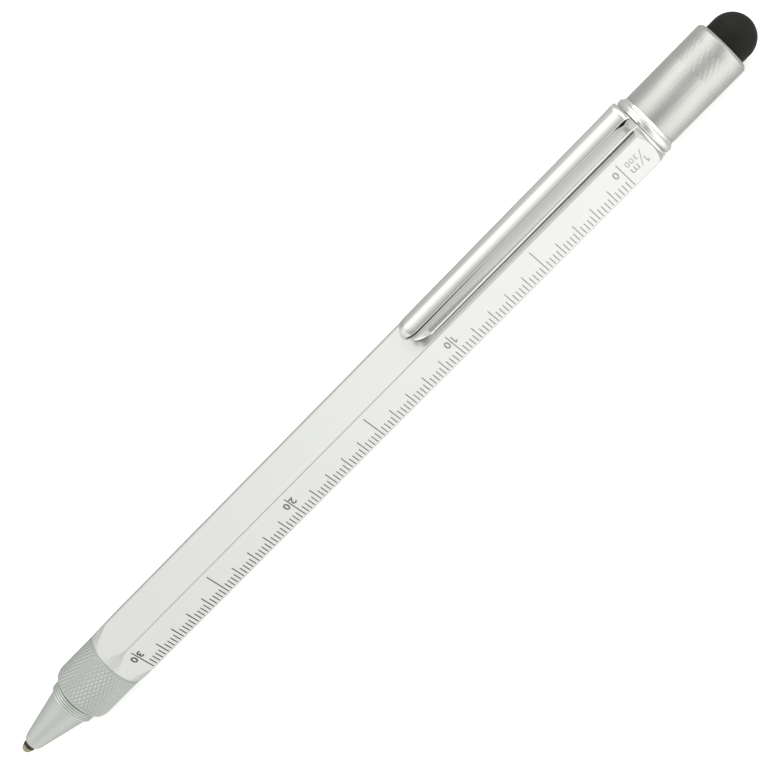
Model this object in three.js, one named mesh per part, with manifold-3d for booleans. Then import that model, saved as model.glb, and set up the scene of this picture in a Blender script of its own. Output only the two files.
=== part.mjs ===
import * as THREE from 'three';
import Module from 'manifold-3d';
import { mergeVertices } from 'three/addons/utils/BufferGeometryUtils.js';

// Multi tool pen: a hexagonal scale barrel with a twist ballpoint in front, and behind it a screwed
// cap with a stylus dome that covers a driver bit. A spirit level sits in one face of the barrel.
// Millimetres. X runs from the writing point to the stylus and +Z is up. The pieces are placed from
// the barrel's front end, x = 0, and on the pen's own axis; the last lines centre the pen on X and
// stand it on the barrel's bottom face.

// Clearances
const runningGap = 0.12;
const pressGap = 0.05;
const seatGap = 0.02;
const overrun = 0.5;

// Barrel
const acrossFlats = 9.9;
const barrelLength = 110;
const barrelWall = 1.15;
const barrelEndInset = 0.05;
const frontChamferLength = 3.7;
const rearChamferLength = 0.85;

// Grip
const gripRadius = 4.95;
const gripLength = 8.74;
const gripGap = 0.15;
const gripFrontRadius = 3.89;
const gripShoulderRadius = 4.8;
const gripShoulderLength = 1.16;
const gripRoundLength = 0.75;
const gripEdge = 0.15;
const driveSeatLength = 4.6;

// Nose cone
const noseLength = 10.65;
const noseGap = 0.1;
const noseRimRadius = 1.2;
const noseShoulderRadius = 1.63;
const noseRimLength = 0.79;
const noseRootRadius = 3.6;
const noseBandRadius = 3.85;
const noseBandLength = 1.2;
const spigotRadius = 2.6;
const spigotLength = 3.7;
const noseGroove = 0.4;
const noseRingRadius = 0.2;
const noseThroatLength = 1.3;
const noseThroatFlare = 0.4;

// Refill, with a total length from the ball to the rear of the tube
const refillLength = 67;
const refillRadius = 1.175;
const refillWall = 0.2;
const refillProtrusion = 1.94;
const ballRadius = 0.35;
const ballShow = 0.25;
const pointLength = 0.93;
const pointRadius = 0.92;
const pointLandRadius = 0.55;
const shankRadius = 0.72;
const shankLength = 3.8;
const holderRadius = 1;
const holderLength = 2.5;
const inkInset = 2;
const inkReserve = 9.3;

// Twist mechanism
const refillTravel = 4;
const twistAngle = Math.PI;
const guideWall = 0.6;
const driveWall = 0.5;
const carrierLength = 8;
const carrierSeatDepth = 4;
const pinRadius = 0.6;
const pinSetback = 2;
const slotEndWall = 2.6;
const guideLength = 17;
const bushLength = 6;
const bushInset = 0.3;
const retainerThickness = 0.8;
const retainerMouth = 2.4;

// Bit, bit holder and magnet
const bitAcrossFlats = 4;
const bitLength = 24;
const bitHexLength = 12;
const bitShaftRadius = 1.6;
const bitTipLength = 2.2;
const bladeThickness = 0.6;
const crossCoreRadius = 0.3;
const crossTipRadius = 0.5;
const socketGap = 0.05;
const holderBodyLength = 15;
const neckRadius = 2.75;
const neckLength = 5;
const neckEdge = 0.25;
const bitDepth = 9.9;
const magnetRadius = 1.9;
const magnetLength = 2.6;

// Clip ring and clip arm
const ringThickness = 0.48;
const ringRadius = 4.9;
const lugWidth = 2.6;
const lugRise = 0.6;
const clipSheet = 0.45;
const clipLength = 43.2;
const clipHeight = 3.85;
const creaseHeight = 3;
const lipHalfWidth = 1.95;
const creaseHalfWidth = 1.7;
const lipRise = 0.4;
const tipRise = 0.15;
const lipSetback = 2.9;
const creaseSetback = 0.5;
const tipRound = 0.9;

// Cap
const collarLength = 1.66;
const beadLength = 1.03;
const beadRadius = 4.905;
const beadEdge = 0.3;
const capRadius = 4.45;
const capLength = 14.05;
const capEdge = 0.45;
const capSpigotRadius = 3.95;
const capEndWall = 1.75;
const capBoreRadius = 3;
const insertWall = 0.48;
const insertLength = 4;
const washerThickness = 0.3;
const capRingRadius = 0.2;

// Stylus
const domeRadius = 3.5;
const domeLength = 4.94;
const domeSkirt = 1.5;
const domeWall = 0.8;
const domeBase = 0.9;
const postRadius = 1.28;
const postHeadRadius = 2;
const postHeadLength = 0.6;

// Spirit level, in the barrel face that is one sixth of a turn from the clip's face
const windowSetback = 27;
const windowLength = 12.6;
const windowWidth = 4.4;
const windowCorner = 0.6;
const vialLength = 12;
const vialRadius = 2;
const vialWall = 0.4;
const vialDepth = 0.55;
const vialPlugLength = 1;
const bubbleRadius = 0.7;
const bubbleLength = 2.8;
const bubbleTravel = 2.5;
const bubbleOffset = 0.6;
const channelWidth = 0.9;

// Sides of the round pieces
const roundSides = 36;
const smallSides = 20;
const arcSteps = 5;
const halfTurnSteps = 12;
const mergeDistance = 1e-5;

// Places and sizes that follow from the ones above
const faceRadius = acrossFlats / 2;
const boreRadius = faceRadius - barrelWall;
const barrelEndRadius = faceRadius - barrelEndInset;
const hexCornerRadius = faceRadius / Math.cos(Math.PI / 6);
const guideOuter = boreRadius - pressGap;
const guideInner = guideOuter - guideWall;
const driveOuter = guideInner - runningGap;
const driveInner = driveOuter - driveWall;
const carrierRadius = driveInner - runningGap;
const gripRear = -gripGap;
const gripFront = gripRear - gripLength;
const noseRear = gripFront - noseGap;
const noseFront = noseRear - noseLength;
const refillFront = noseFront - refillProtrusion;
const refillRear = refillFront + refillLength;
const holderFront = refillFront + ballShow + pointLength;
const tubeFront = holderFront + holderLength + seatGap;
const driveFront = gripRear - driveSeatLength;
const carrierRear = refillRear + carrierLength - carrierSeatDepth;
const pinPlace = carrierRear - pinSetback;
const driveRear = pinPlace + refillTravel + slotEndWall;
const bitFront = barrelLength - bitDepth;
const bitRear = bitFront + bitLength;
const neckRear = barrelLength + neckLength;
const ringRear = barrelLength + seatGap + ringThickness;
const collarFront = ringRear + seatGap;
const capFront = collarFront + collarLength + seatGap;
const capRear = capFront + capLength;
const insertOuter = neckRadius + runningGap + insertWall;
const capMouthRadius = insertOuter + pressGap;
const washerFront = collarFront + runningGap;
const capRingPlace = washerFront + washerThickness + seatGap + capRingRadius;
const insertFront = capRingPlace + capRingRadius + seatGap;
const insertRear = insertFront + insertLength;
const domeFront = capRear + seatGap;
const domeRear = domeFront + domeLength;
const windowCentre = barrelLength - windowSetback;
const vialCentre = faceRadius - vialDepth - vialRadius;
const levelTurn = -Math.PI / 3;
const quarterTurn = Math.PI / 2;

const lacquer = new THREE.MeshStandardMaterial({ color: 0xe2e3dd, roughness: 0.38, metalness: 0.55 });
const satin = new THREE.MeshStandardMaterial({ color: 0xc2c6c0, roughness: 0.32, metalness: 0.9 });
const chrome = new THREE.MeshStandardMaterial({ color: 0xd9dad6, roughness: 0.08, metalness: 1 });
const steel = new THREE.MeshStandardMaterial({ color: 0x8f9296, roughness: 0.35, metalness: 1 });
const brass = new THREE.MeshStandardMaterial({ color: 0xc9ab68, roughness: 0.3, metalness: 1 });
const nickel = new THREE.MeshStandardMaterial({ color: 0xcfc9b4, roughness: 0.22, metalness: 1 });
const rubber = new THREE.MeshStandardMaterial({ color: 0x262621, roughness: 0.75, metalness: 0 });
const blackPlastic = new THREE.MeshStandardMaterial({ color: 0x1b1b1b, roughness: 0.5, metalness: 0 });
const whitePlastic = new THREE.MeshStandardMaterial({ color: 0xf0f0ea, roughness: 0.5, metalness: 0 });
const clear = new THREE.MeshStandardMaterial({ color: 0xe8f2ee, roughness: 0.05, metalness: 0 });
const liquid = new THREE.MeshStandardMaterial({ color: 0xc8e23a, roughness: 0.05, metalness: 0 });
const air = new THREE.MeshStandardMaterial({ color: 0xf4fbe8, roughness: 0.05, metalness: 0 });
const ink = new THREE.MeshStandardMaterial({ color: 0x14182b, roughness: 0.4, metalness: 0 });

const wasm = await Module();
wasm.setup();

const pen = new THREE.Group();

// Joining and cutting of closed geometries

function solidOf(geometry) {
  const plain = geometry.index ? geometry.toNonIndexed() : geometry.clone();
  plain.deleteAttribute('normal');
  plain.deleteAttribute('uv');
  const merged = mergeVertices(plain, mergeDistance);
  const corners = merged.index.array;
  const triangles = [];
  for (let start = 0; start < corners.length; start += 3) {
    const [a, b, c] = corners.slice(start, start + 3);
    if (a !== b && b !== c && c !== a) triangles.push(a, b, c);
  }
  return new wasm.Manifold(new wasm.Mesh({
    numProp: 3,
    vertProperties: new Float32Array(merged.attributes.position.array),
    triVerts: new Uint32Array(triangles),
  }));
}

function geometryOf(solid) {
  const mesh = solid.getMesh();
  const geometry = new THREE.BufferGeometry();
  geometry.setAttribute('position', new THREE.BufferAttribute(mesh.vertProperties, 3));
  geometry.setIndex(new THREE.BufferAttribute(mesh.triVerts, 1));
  return geometry;
}

function cut(body, ...tools) {
  return geometryOf(tools.reduce((rest, tool) => rest.subtract(solidOf(tool)), solidOf(body)));
}

function join(...bodies) {
  return geometryOf(bodies.map(solidOf).reduce((whole, body) => whole.add(body)));
}

function common(body, other) {
  return geometryOf(solidOf(body).intersect(solidOf(other)));
}

// Shapes

// A turned piece about the X axis, from points of place along X and radius.
function turned(outline, sides = roundSides) {
  const points = outline.map(([x, radius]) => new THREE.Vector2(radius, x));
  return new THREE.LatheGeometry(points, sides).rotateZ(-quarterTurn);
}

function tube(front, rear, inner, outer, sides = roundSides) {
  return turned([[front, inner], [front, outer], [rear, outer], [rear, inner], [front, inner]], sides);
}

function rod(front, rear, radius, sides = smallSides) {
  return turned([[front, 0], [front, radius], [rear, radius], [rear, 0]], sides);
}

function sealRing(place, radius, thickness) {
  const ring = new THREE.TorusGeometry(radius, thickness, arcSteps + 2, smallSides);
  return ring.rotateY(quarterTurn).translate(place, 0, 0);
}

// A prism along X, from an outline across the pen: shape x is the pen's Y, shape y its Z.
function prism(shape, front, rear) {
  const basis = new THREE.Matrix4().makeBasis(
    new THREE.Vector3(0, 1, 0), new THREE.Vector3(0, 0, 1), new THREE.Vector3(1, 0, 0));
  const options = { depth: rear - front, bevelEnabled: false, curveSegments: arcSteps };
  return new THREE.ExtrudeGeometry(shape, options).applyMatrix4(basis).translate(front, 0, 0);
}

// A slab across the pen, from an outline of its side view: shape x is the pen's X, shape y its Z.
function slab(shape, width) {
  const basis = new THREE.Matrix4().makeBasis(
    new THREE.Vector3(1, 0, 0), new THREE.Vector3(0, 0, 1), new THREE.Vector3(0, -1, 0));
  const options = { depth: width, bevelEnabled: false, curveSegments: arcSteps };
  return new THREE.ExtrudeGeometry(shape, options).applyMatrix4(basis).translate(0, width / 2, 0);
}

function hexagon(flats) {
  const corners = [];
  for (let corner = 0; corner < 6; corner += 1) {
    const angle = corner * Math.PI / 3;
    const radius = flats / 2 / Math.cos(Math.PI / 6);
    corners.push(new THREE.Vector2(radius * Math.cos(angle), radius * Math.sin(angle)));
  }
  return new THREE.Shape(corners);
}

function block(front, rear, width, low, high) {
  const box = new THREE.BoxGeometry(rear - front, width, high - low);
  return box.translate((front + rear) / 2, 0, (low + high) / 2);
}

// A strap that winds round the X axis, from one angle and place to another, cut out as a slot.
function windingSlot(startAngle, endAngle, startPlace, endPlace, halfWidth, inner, outer) {
  const places = [];
  for (let step = 0; step <= halfTurnSteps; step += 1) {
    const angle = THREE.MathUtils.lerp(startAngle, endAngle, step / halfTurnSteps);
    const place = THREE.MathUtils.lerp(startPlace, endPlace, step / halfTurnSteps);
    const corners = [[-halfWidth, inner], [halfWidth, inner], [halfWidth, outer], [-halfWidth, outer]];
    for (const [along, radius] of corners) {
      places.push(place + along, radius * Math.cos(angle), radius * Math.sin(angle));
    }
  }
  const faces = [0, 2, 1, 0, 3, 2];
  for (let step = 0; step < halfTurnSteps; step += 1) {
    for (let corner = 0; corner < 4; corner += 1) {
      const next = (corner + 1) % 4;
      const here = step * 4;
      const there = here + 4;
      faces.push(here + corner, here + next, there + next, here + corner, there + next, there + corner);
    }
  }
  const last = halfTurnSteps * 4;
  faces.push(last, last + 1, last + 2, last, last + 2, last + 3);
  const geometry = new THREE.BufferGeometry();
  geometry.setAttribute('position', new THREE.Float32BufferAttribute(places, 3));
  geometry.setIndex(faces);
  return geometry;
}

function add(name, geometry, material, parent = pen) {
  const mesh = new THREE.Mesh(geometry, material);
  mesh.name = name;
  parent.add(mesh);
}

// Barrel, with turned ends and the window of the level

function levelWindow() {
  const shape = new THREE.Shape();
  const [x, y] = [windowLength / 2, windowWidth / 2];
  const corners = [[x, y, 0], [-x, y, 1], [-x, -y, 2], [x, -y, 3]];
  for (const [cornerX, cornerY, turn] of corners) {
    const centreX = cornerX - Math.sign(cornerX) * windowCorner;
    const centreY = cornerY - Math.sign(cornerY) * windowCorner;
    shape.absarc(centreX, centreY, windowCorner, turn * quarterTurn, (turn + 1) * quarterTurn);
  }
  const options = { depth: faceRadius + overrun, bevelEnabled: false, curveSegments: arcSteps };
  return new THREE.ExtrudeGeometry(shape, options).translate(windowCentre, 0, 0).rotateX(levelTurn);
}

function barrel() {
  const hex = prism(hexagon(acrossFlats), 0, barrelLength);
  const fullRadius = hexCornerRadius + barrelEndInset;
  const envelope = turned([
    [0, 0],
    [0, barrelEndRadius],
    [frontChamferLength, hexCornerRadius],
    [frontChamferLength + barrelEndInset, fullRadius],
    [barrelLength - rearChamferLength - barrelEndInset, fullRadius],
    [barrelLength - rearChamferLength, hexCornerRadius],
    [barrelLength, barrelEndRadius],
    [barrelLength, 0],
  ]);
  const bore = rod(-overrun, barrelLength + overrun, boreRadius, roundSides);
  return cut(common(hex, envelope), bore, levelWindow());
}

// Grip and nose cone

function grip() {
  const seatRadius = driveOuter + pressGap;
  const threadRadius = spigotRadius + runningGap;
  return turned([
    [gripFront, threadRadius],
    [gripFront, gripFrontRadius],
    [gripFront + gripShoulderLength, gripShoulderRadius],
    [gripFront + gripShoulderLength + gripRoundLength, gripRadius],
    [gripRear - gripEdge, gripRadius],
    [gripRear, gripRadius - gripEdge],
    [gripRear, seatRadius],
    [driveFront - seatGap, seatRadius],
    [driveFront - seatGap, threadRadius],
    [gripFront, threadRadius],
  ]);
}

function noseCone() {
  const throatRadius = holderRadius + runningGap;
  const innerRadius = refillRadius + noseThroatFlare;
  const spigotRear = noseRear + spigotLength;
  const grooveRadius = spigotRadius - noseGroove;
  const grooveFront = noseRear + noseGap;
  const grooveRear = grooveFront + 2 * noseRingRadius + 2 * pressGap;
  return turned([
    [noseFront, throatRadius],
    [noseFront, noseRimRadius],
    [noseFront + noseRimLength, noseShoulderRadius],
    [noseRear - noseBandLength, noseRootRadius],
    [noseRear - noseBandLength, noseBandRadius],
    [noseRear, noseBandRadius],
    [noseRear, spigotRadius],
    [grooveFront, spigotRadius],
    [grooveFront, grooveRadius],
    [grooveRear, grooveRadius],
    [grooveRear, spigotRadius],
    [spigotRear, spigotRadius],
    [spigotRear, innerRadius],
    [noseFront + noseThroatLength + noseThroatFlare, innerRadius],
    [noseFront + noseThroatLength, throatRadius],
    [noseFront, throatRadius],
  ]);
}

function noseRing() {
  const place = noseRear + noseGap + pressGap + noseRingRadius;
  return sealRing(place, spigotRadius - noseGroove + pressGap + noseRingRadius, noseRingRadius);
}

// Refill

function refillPoint() {
  const front = refillFront + ballShow;
  const socketRadius = ballRadius + pressGap;
  const socketRear = refillFront + 2 * ballRadius + pressGap;
  return turned([
    [socketRear, 0],
    [socketRear, socketRadius],
    [front, socketRadius],
    [front, pointLandRadius],
    [holderFront - seatGap, pointRadius],
    [holderFront - seatGap, shankRadius],
    [holderFront + shankLength, shankRadius],
    [holderFront + shankLength, 0],
  ], smallSides);
}

function carrier() {
  const front = refillRear - carrierSeatDepth;
  const seat = rod(front - overrun, refillRear + seatGap, refillRadius + pressGap);
  const body = rod(front, carrierRear, carrierRadius, roundSides);
  const pinHole = new THREE.CylinderGeometry(
    pinRadius + pressGap, pinRadius + pressGap, 2 * guideOuter, smallSides);
  return cut(body, seat, pinHole.translate(pinPlace, 0, 0));
}

function followerPin() {
  const pin = new THREE.CylinderGeometry(pinRadius, pinRadius, 2 * (guideOuter - runningGap), smallSides);
  return pin.translate(pinPlace, 0, 0);
}

// Twist mechanism: the drive tube turns with the grip and its winding slots push the pin along the
// straight slots of the guide tube.

function driveTube() {
  const rise = refillTravel / twistAngle;
  const endAngle = (pinRadius + runningGap) / driveInner;
  const slope = Math.hypot(1, rise / driveInner);
  const halfWidth = (pinRadius + runningGap) * slope;
  const slots = [0, Math.PI].map((side) => windingSlot(
    side - twistAngle - endAngle, side + endAngle,
    pinPlace + refillTravel + rise * endAngle, pinPlace - rise * endAngle,
    halfWidth, driveInner - overrun, driveOuter + overrun));
  return cut(tube(driveFront, driveRear, driveInner, driveOuter), ...slots);
}

function guideTube() {
  const middle = pinPlace + refillTravel / 2;
  const body = tube(middle - guideLength / 2, middle + guideLength / 2, guideInner, guideOuter);
  const reach = pinRadius + runningGap;
  const width = 2 * (guideOuter + overrun);
  const slot = new THREE.BoxGeometry(refillTravel + 2 * reach, width, 2 * reach);
  return cut(body, slot.translate(middle, 0, 0));
}

function retainingRing() {
  const front = bushInset + bushLength + runningGap;
  const ring = tube(front, front + retainerThickness, driveOuter + pressGap, boreRadius - runningGap);
  return cut(ring, block(front - overrun, front + retainerThickness + overrun, retainerMouth, 0, boreRadius));
}

// Bit and bit holder

function bitHolder() {
  const body = turned([
    [barrelLength - holderBodyLength, 0],
    [barrelLength - holderBodyLength, guideOuter],
    [barrelLength, guideOuter],
    [barrelLength, neckRadius],
    [neckRear - neckEdge, neckRadius],
    [neckRear, neckRadius - neckEdge],
    [neckRear, 0],
  ]);
  const socket = prism(hexagon(bitAcrossFlats + 2 * socketGap), bitFront - seatGap, neckRear + overrun);
  const pocket = rod(bitFront - magnetLength - 2 * seatGap, bitFront, magnetRadius + pressGap);
  return cut(body, socket, pocket);
}

function driverBit() {
  const shoulder = (bitLength - bitHexLength) / 2;
  const hex = prism(hexagon(bitAcrossFlats), bitFront + shoulder, bitRear - shoulder);
  const shaft = turned([
    [bitFront, 0],
    [bitFront, bitShaftRadius],
    [bitRear - bitTipLength, bitShaftRadius],
    [bitRear, crossTipRadius],
    [bitRear, 0],
  ], smallSides);
  const bladeRear = bitFront + bitTipLength;
  const flats = [-1, 1].map((side) => {
    const low = side > 0 ? bladeThickness / 2 : -bitShaftRadius - overrun;
    const high = side > 0 ? bitShaftRadius + overrun : -bladeThickness / 2;
    return block(bitFront - overrun, bladeRear, 2 * bitShaftRadius + overrun, low, high);
  });
  const flutes = [0, 1, 2, 3].map((turn) => {
    const flute = new THREE.BoxGeometry(bitTipLength + overrun, 2 * bitShaftRadius, 2 * bitShaftRadius);
    flute.rotateX(Math.PI / 4);
    const height = crossCoreRadius + bitShaftRadius * Math.SQRT2;
    flute.translate(bitRear - bitTipLength / 2 + overrun / 2, 0, height);
    return flute.rotateX(turn * quarterTurn);
  });
  return cut(join(hex, shaft), ...flats, ...flutes);
}

// Clip ring with its lug, and the folded clip arm that is hinged above the lug

function clipRing() {
  const front = barrelLength + seatGap;
  const ring = tube(front, ringRear, neckRadius + pressGap, ringRadius);
  const lug = block(front, ringRear, lugWidth, (neckRadius + ringRadius) / 2, faceRadius + lugRise);
  return join(ring, lug);
}

function clipSection(inset) {
  const lip = lipHalfWidth - inset;
  const crease = creaseHalfWidth - inset;
  const crown = clipHeight - inset;
  const bend = creaseHeight - inset / 2;
  const sagitta = crown - bend;
  const radius = (crease * crease + sagitta * sagitta) / (2 * sagitta);
  const half = Math.asin(crease / radius);
  const low = inset > 0 ? -overrun : 0;
  const shape = new THREE.Shape();
  shape.moveTo(-lip, low);
  shape.lineTo(lip, low);
  shape.absarc(0, crown - radius, radius, quarterTurn - half, quarterTurn + half);
  return shape;
}

function clipSide(inset) {
  const crown = clipHeight - inset + (inset > 0 ? overrun : 0);
  const low = inset > 0 ? -overrun : 0;
  const front = -clipLength + inset;
  const shape = new THREE.Shape();
  shape.moveTo(-inset, low);
  shape.lineTo(-inset, crown);
  shape.lineTo(front + tipRound, crown);
  shape.quadraticCurveTo(front, crown, front, creaseHeight + (clipHeight - creaseHeight) / 2);
  shape.lineTo(front + creaseSetback, creaseHeight);
  shape.lineTo(front + lipSetback, 0);
  shape.lineTo(front + lipSetback, low);
  return shape;
}

function clipArm() {
  const outer = common(prism(clipSection(0), -clipLength, 0), slab(clipSide(0), 2 * lipHalfWidth));
  const inner = common(
    prism(clipSection(clipSheet), -clipLength, 0), slab(clipSide(clipSheet), 2 * lipHalfWidth));
  const notch = block(
    -clipSheet - overrun, overrun, lugWidth + 2 * pressGap, -overrun, lugRise - lipRise + runningGap);
  return cut(outer, inner, notch);
}

// Cap

function capCollar() {
  const beadRear = collarFront + beadLength;
  const inner = capSpigotRadius + pressGap;
  return turned([
    [collarFront, inner],
    [collarFront, beadRadius - beadEdge],
    [collarFront + beadEdge / 2, beadRadius - beadEdge / 3],
    [collarFront + beadEdge, beadRadius],
    [beadRear - beadEdge, beadRadius],
    [beadRear, beadRadius - beadEdge / 3],
    [collarFront + collarLength, capRadius],
    [collarFront + collarLength, inner],
    [collarFront, inner],
  ]);
}

function capShell() {
  const holeRadius = postRadius + pressGap;
  const boreRear = capRear - capEndWall;
  return turned([
    [collarFront + pressGap, capMouthRadius],
    [collarFront + pressGap, capSpigotRadius],
    [capFront, capSpigotRadius],
    [capFront, capRadius],
    [capRear - capEdge, capRadius],
    [capRear, capRadius - capEdge],
    [capRear, holeRadius],
    [boreRear, holeRadius],
    [boreRear, capBoreRadius],
    [insertRear + seatGap, capBoreRadius],
    [insertRear + seatGap, capMouthRadius],
    [collarFront + pressGap, capMouthRadius],
  ]);
}

// Stylus: a hollow rubber dome held by a post with a round head

function domeArc(front, rear, radius) {
  const points = [];
  for (let step = 0; step <= arcSteps; step += 1) {
    const angle = quarterTurn * step / arcSteps;
    points.push([front + (rear - front) * Math.sin(angle), radius * Math.cos(angle)]);
  }
  points[arcSteps][1] = 0;
  return points;
}

function stylusDome() {
  const holeRadius = postRadius + pressGap;
  const hollow = domeArc(domeFront + domeSkirt, domeRear - domeWall, domeRadius - domeWall);
  return turned([
    ...hollow.reverse(),
    [domeFront + domeBase, domeRadius - domeWall],
    [domeFront + domeBase, holeRadius],
    [domeFront, holeRadius],
    [domeFront, domeRadius],
    ...domeArc(domeFront + domeSkirt, domeRear, domeRadius),
  ]);
}

function stylusPost() {
  const headFront = domeFront + domeBase + seatGap;
  return turned([
    [capRear - capEndWall, 0],
    [capRear - capEndWall, postRadius],
    [headFront, postRadius],
    [headFront, postHeadRadius],
    [headFront + postHeadLength / 2, postHeadRadius],
    [headFront + postHeadLength, postRadius],
    [headFront + postHeadLength, 0],
  ], smallSides);
}

// Spirit level. Its window faces a sixth of a turn from the clip; the bubble lies at the vial's top.

function capsule(middle, length, radius) {
  const flat = length / 2 - radius;
  const rear = domeArc(middle + flat, middle + flat + radius, radius);
  const front = rear.map(([x, r]) => [2 * middle - x, r]).reverse();
  return turned([...front, ...rear], smallSides);
}

function levelCradle() {
  const front = windowCentre - vialLength / 2;
  const rear = windowCentre + vialLength / 2;
  const body = rod(front, rear, guideOuter, roundSides);
  const above = block(front - overrun, rear + overrun, 2 * boreRadius, vialCentre, boreRadius);
  const seat = rod(front - overrun, rear + overrun, vialRadius + runningGap, roundSides);
  return cut(body, above, seat.translate(0, 0, vialCentre));
}

function bubblePlace() {
  const across = -vialCentre * Math.sin(levelTurn);
  return new THREE.Vector3(0, across, vialCentre * Math.cos(levelTurn) + bubbleOffset);
}

function levelLiquid() {
  const half = vialLength / 2 - vialPlugLength - seatGap;
  const column = rod(windowCentre - half, windowCentre + half, vialRadius - vialWall - pressGap);
  column.translate(0, 0, vialCentre).rotateX(levelTurn);
  const place = bubblePlace();
  const reach = bubbleLength / 2 + bubbleTravel + runningGap;
  const channel = capsule(windowCentre, 2 * reach, bubbleRadius + runningGap);
  const flat = reach - bubbleRadius;
  const opening = block(windowCentre - flat, windowCentre + flat, channelWidth, 0, vialRadius);
  return cut(column, channel.translate(0, place.y, place.z), opening.translate(0, place.y, place.z));
}

function levelPlug(side) {
  const outer = windowCentre + side * (vialLength / 2 - seatGap);
  const inner = windowCentre + side * (vialLength / 2 - vialPlugLength);
  return rod(Math.min(outer, inner), Math.max(outer, inner), vialRadius - vialWall - pressGap);
}

// The pieces, from the writing point to the stylus

add('refill_ball', new THREE.SphereGeometry(ballRadius, 2 * arcSteps, arcSteps + 2)
  .translate(refillFront + ballRadius, 0, 0), steel);
add('refill_point', refillPoint(), nickel);
add('refill_tip_holder', tube(holderFront, holderFront + holderLength, shankRadius + pressGap,
  holderRadius, smallSides), blackPlastic);
add('refill_tube', tube(tubeFront, refillRear, refillRadius - refillWall, refillRadius, smallSides), brass);
add('refill_ink', rod(tubeFront + inkInset, refillRear - inkReserve,
  refillRadius - refillWall - pressGap, 2 * arcSteps), ink);
add('refill_carrier', carrier(), brass);
add('follower_pin', followerPin(), steel);
add('nose_cone', noseCone(), satin);
add('nose_seal_ring', noseRing(), rubber);
add('grip_section', grip(), satin);
add('drive_tube', driveTube(), brass);
add('retaining_ring', retainingRing(), steel);
add('front_bush', tube(bushInset, bushInset + bushLength, guideInner, guideOuter), brass);
add('guide_tube', guideTube(), brass);
add('hex_barrel', barrel(), lacquer);

const level = new THREE.Group();
level.rotation.x = levelTurn;
pen.add(level);
add('level_cradle', levelCradle(), whitePlastic, level);
add('level_vial', tube(windowCentre - vialLength / 2, windowCentre + vialLength / 2,
  vialRadius - vialWall, vialRadius, smallSides).translate(0, 0, vialCentre), clear, level);
add('level_plug_front', levelPlug(-1).translate(0, 0, vialCentre), blackPlastic, level);
add('level_plug_rear', levelPlug(1).translate(0, 0, vialCentre), blackPlastic, level);
add('level_liquid', levelLiquid(), liquid);
add('level_bubble', capsule(windowCentre, bubbleLength, bubbleRadius)
  .translate(0, bubblePlace().y, bubblePlace().z), air);

add('bit_holder', bitHolder(), steel);
add('holder_magnet', rod(bitFront - magnetLength - seatGap, bitFront - seatGap, magnetRadius), steel);
add('driver_bit', driverBit(), steel);
add('clip_ring', clipRing(), chrome);

const clip = new THREE.Group();
clip.position.set(ringRear, 0, faceRadius + lipRise);
clip.rotation.y = -Math.asin((lipRise - tipRise) / clipLength);
pen.add(clip);
add('clip_arm', clipArm(), chrome, clip);

add('cap_washer', tube(washerFront, washerFront + washerThickness, neckRadius + runningGap,
  capMouthRadius - runningGap), whitePlastic);
add('cap_seal_ring', sealRing(capRingPlace, neckRadius + runningGap + capRingRadius, capRingRadius), rubber);
add('cap_thread_insert', tube(insertFront, insertRear, neckRadius + runningGap, insertOuter), brass);
add('cap_collar', capCollar(), chrome);
add('cap_shell', capShell(), satin);
add('stylus_post', stylusPost(), steel);
add('stylus_dome', stylusDome(), rubber);

pen.position.set(-(refillFront + domeRear) / 2, 0, faceRadius);
pen.updateMatrixWorld(true);

export default pen;
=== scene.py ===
"""Builds the looks of a hexagonal multi tool pen around its packed model, in metres."""

import math

import bmesh
import bpy
from mathutils import Euler, Matrix, Vector


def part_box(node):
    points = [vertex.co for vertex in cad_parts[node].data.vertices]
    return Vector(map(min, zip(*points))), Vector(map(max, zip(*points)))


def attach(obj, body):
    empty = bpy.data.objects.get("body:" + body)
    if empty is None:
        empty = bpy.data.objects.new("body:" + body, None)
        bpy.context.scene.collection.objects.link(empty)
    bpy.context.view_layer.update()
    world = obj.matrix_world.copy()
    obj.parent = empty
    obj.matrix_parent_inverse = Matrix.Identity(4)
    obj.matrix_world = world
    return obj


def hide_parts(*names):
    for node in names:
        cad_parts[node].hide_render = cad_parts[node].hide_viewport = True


bl_info = {
    "name": "Multi tool pen",
    "version": (1, 0, 0),
    "blender": (4, 5, 0),
    "location": "3D View > Sidebar > Pen",
    "description": "Dresses the packed multi tool pen with fine pieces, finishes, scales and a studio",
    "category": "Object",
}

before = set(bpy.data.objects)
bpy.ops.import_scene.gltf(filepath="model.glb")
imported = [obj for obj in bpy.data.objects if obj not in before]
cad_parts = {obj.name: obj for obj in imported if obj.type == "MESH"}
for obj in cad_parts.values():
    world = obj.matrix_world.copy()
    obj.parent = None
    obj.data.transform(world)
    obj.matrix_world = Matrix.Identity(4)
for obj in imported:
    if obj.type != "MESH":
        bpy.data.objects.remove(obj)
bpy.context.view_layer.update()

MM = 0.001
MERGE = 1e-7
FULL_TURN = 2 * math.pi
SIXTH_TURN = math.pi / 3
HALF_FACE = math.pi / 6
SHARP_ANGLE = math.radians(32)

# Places taken from the packed model
BARREL_LOW, BARREL_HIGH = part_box("hex_barrel")
AXIS_HEIGHT = (BARREL_LOW.z + BARREL_HIGH.z) / 2
FACE_RADIUS = (BARREL_HIGH.z - BARREL_LOW.z) / 2
FACE_WIDTH = 2 * FACE_RADIUS * math.tan(HALF_FACE)
CORNER_RADIUS = FACE_RADIUS / math.cos(HALF_FACE)

# Faces of the barrel, counted in sixths of a turn from the clip's face towards the front print
PRINT_FACE = 1
INCH_FACE = 2
CENTIMETRE_FACE = 4
LEVEL_FACE = 5


def span(node):
    """The front and rear places of a node along the pen."""
    low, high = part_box(node)
    return low.x, high.x


def middle_of(node):
    low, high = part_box(node)
    return (low + high) / 2


def radius_of(node):
    """The largest radius of a turned node."""
    low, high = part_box(node)
    return (high.y - low.y) / 2


def half_height_of(node):
    low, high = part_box(node)
    return (high.z - low.z) / 2


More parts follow.
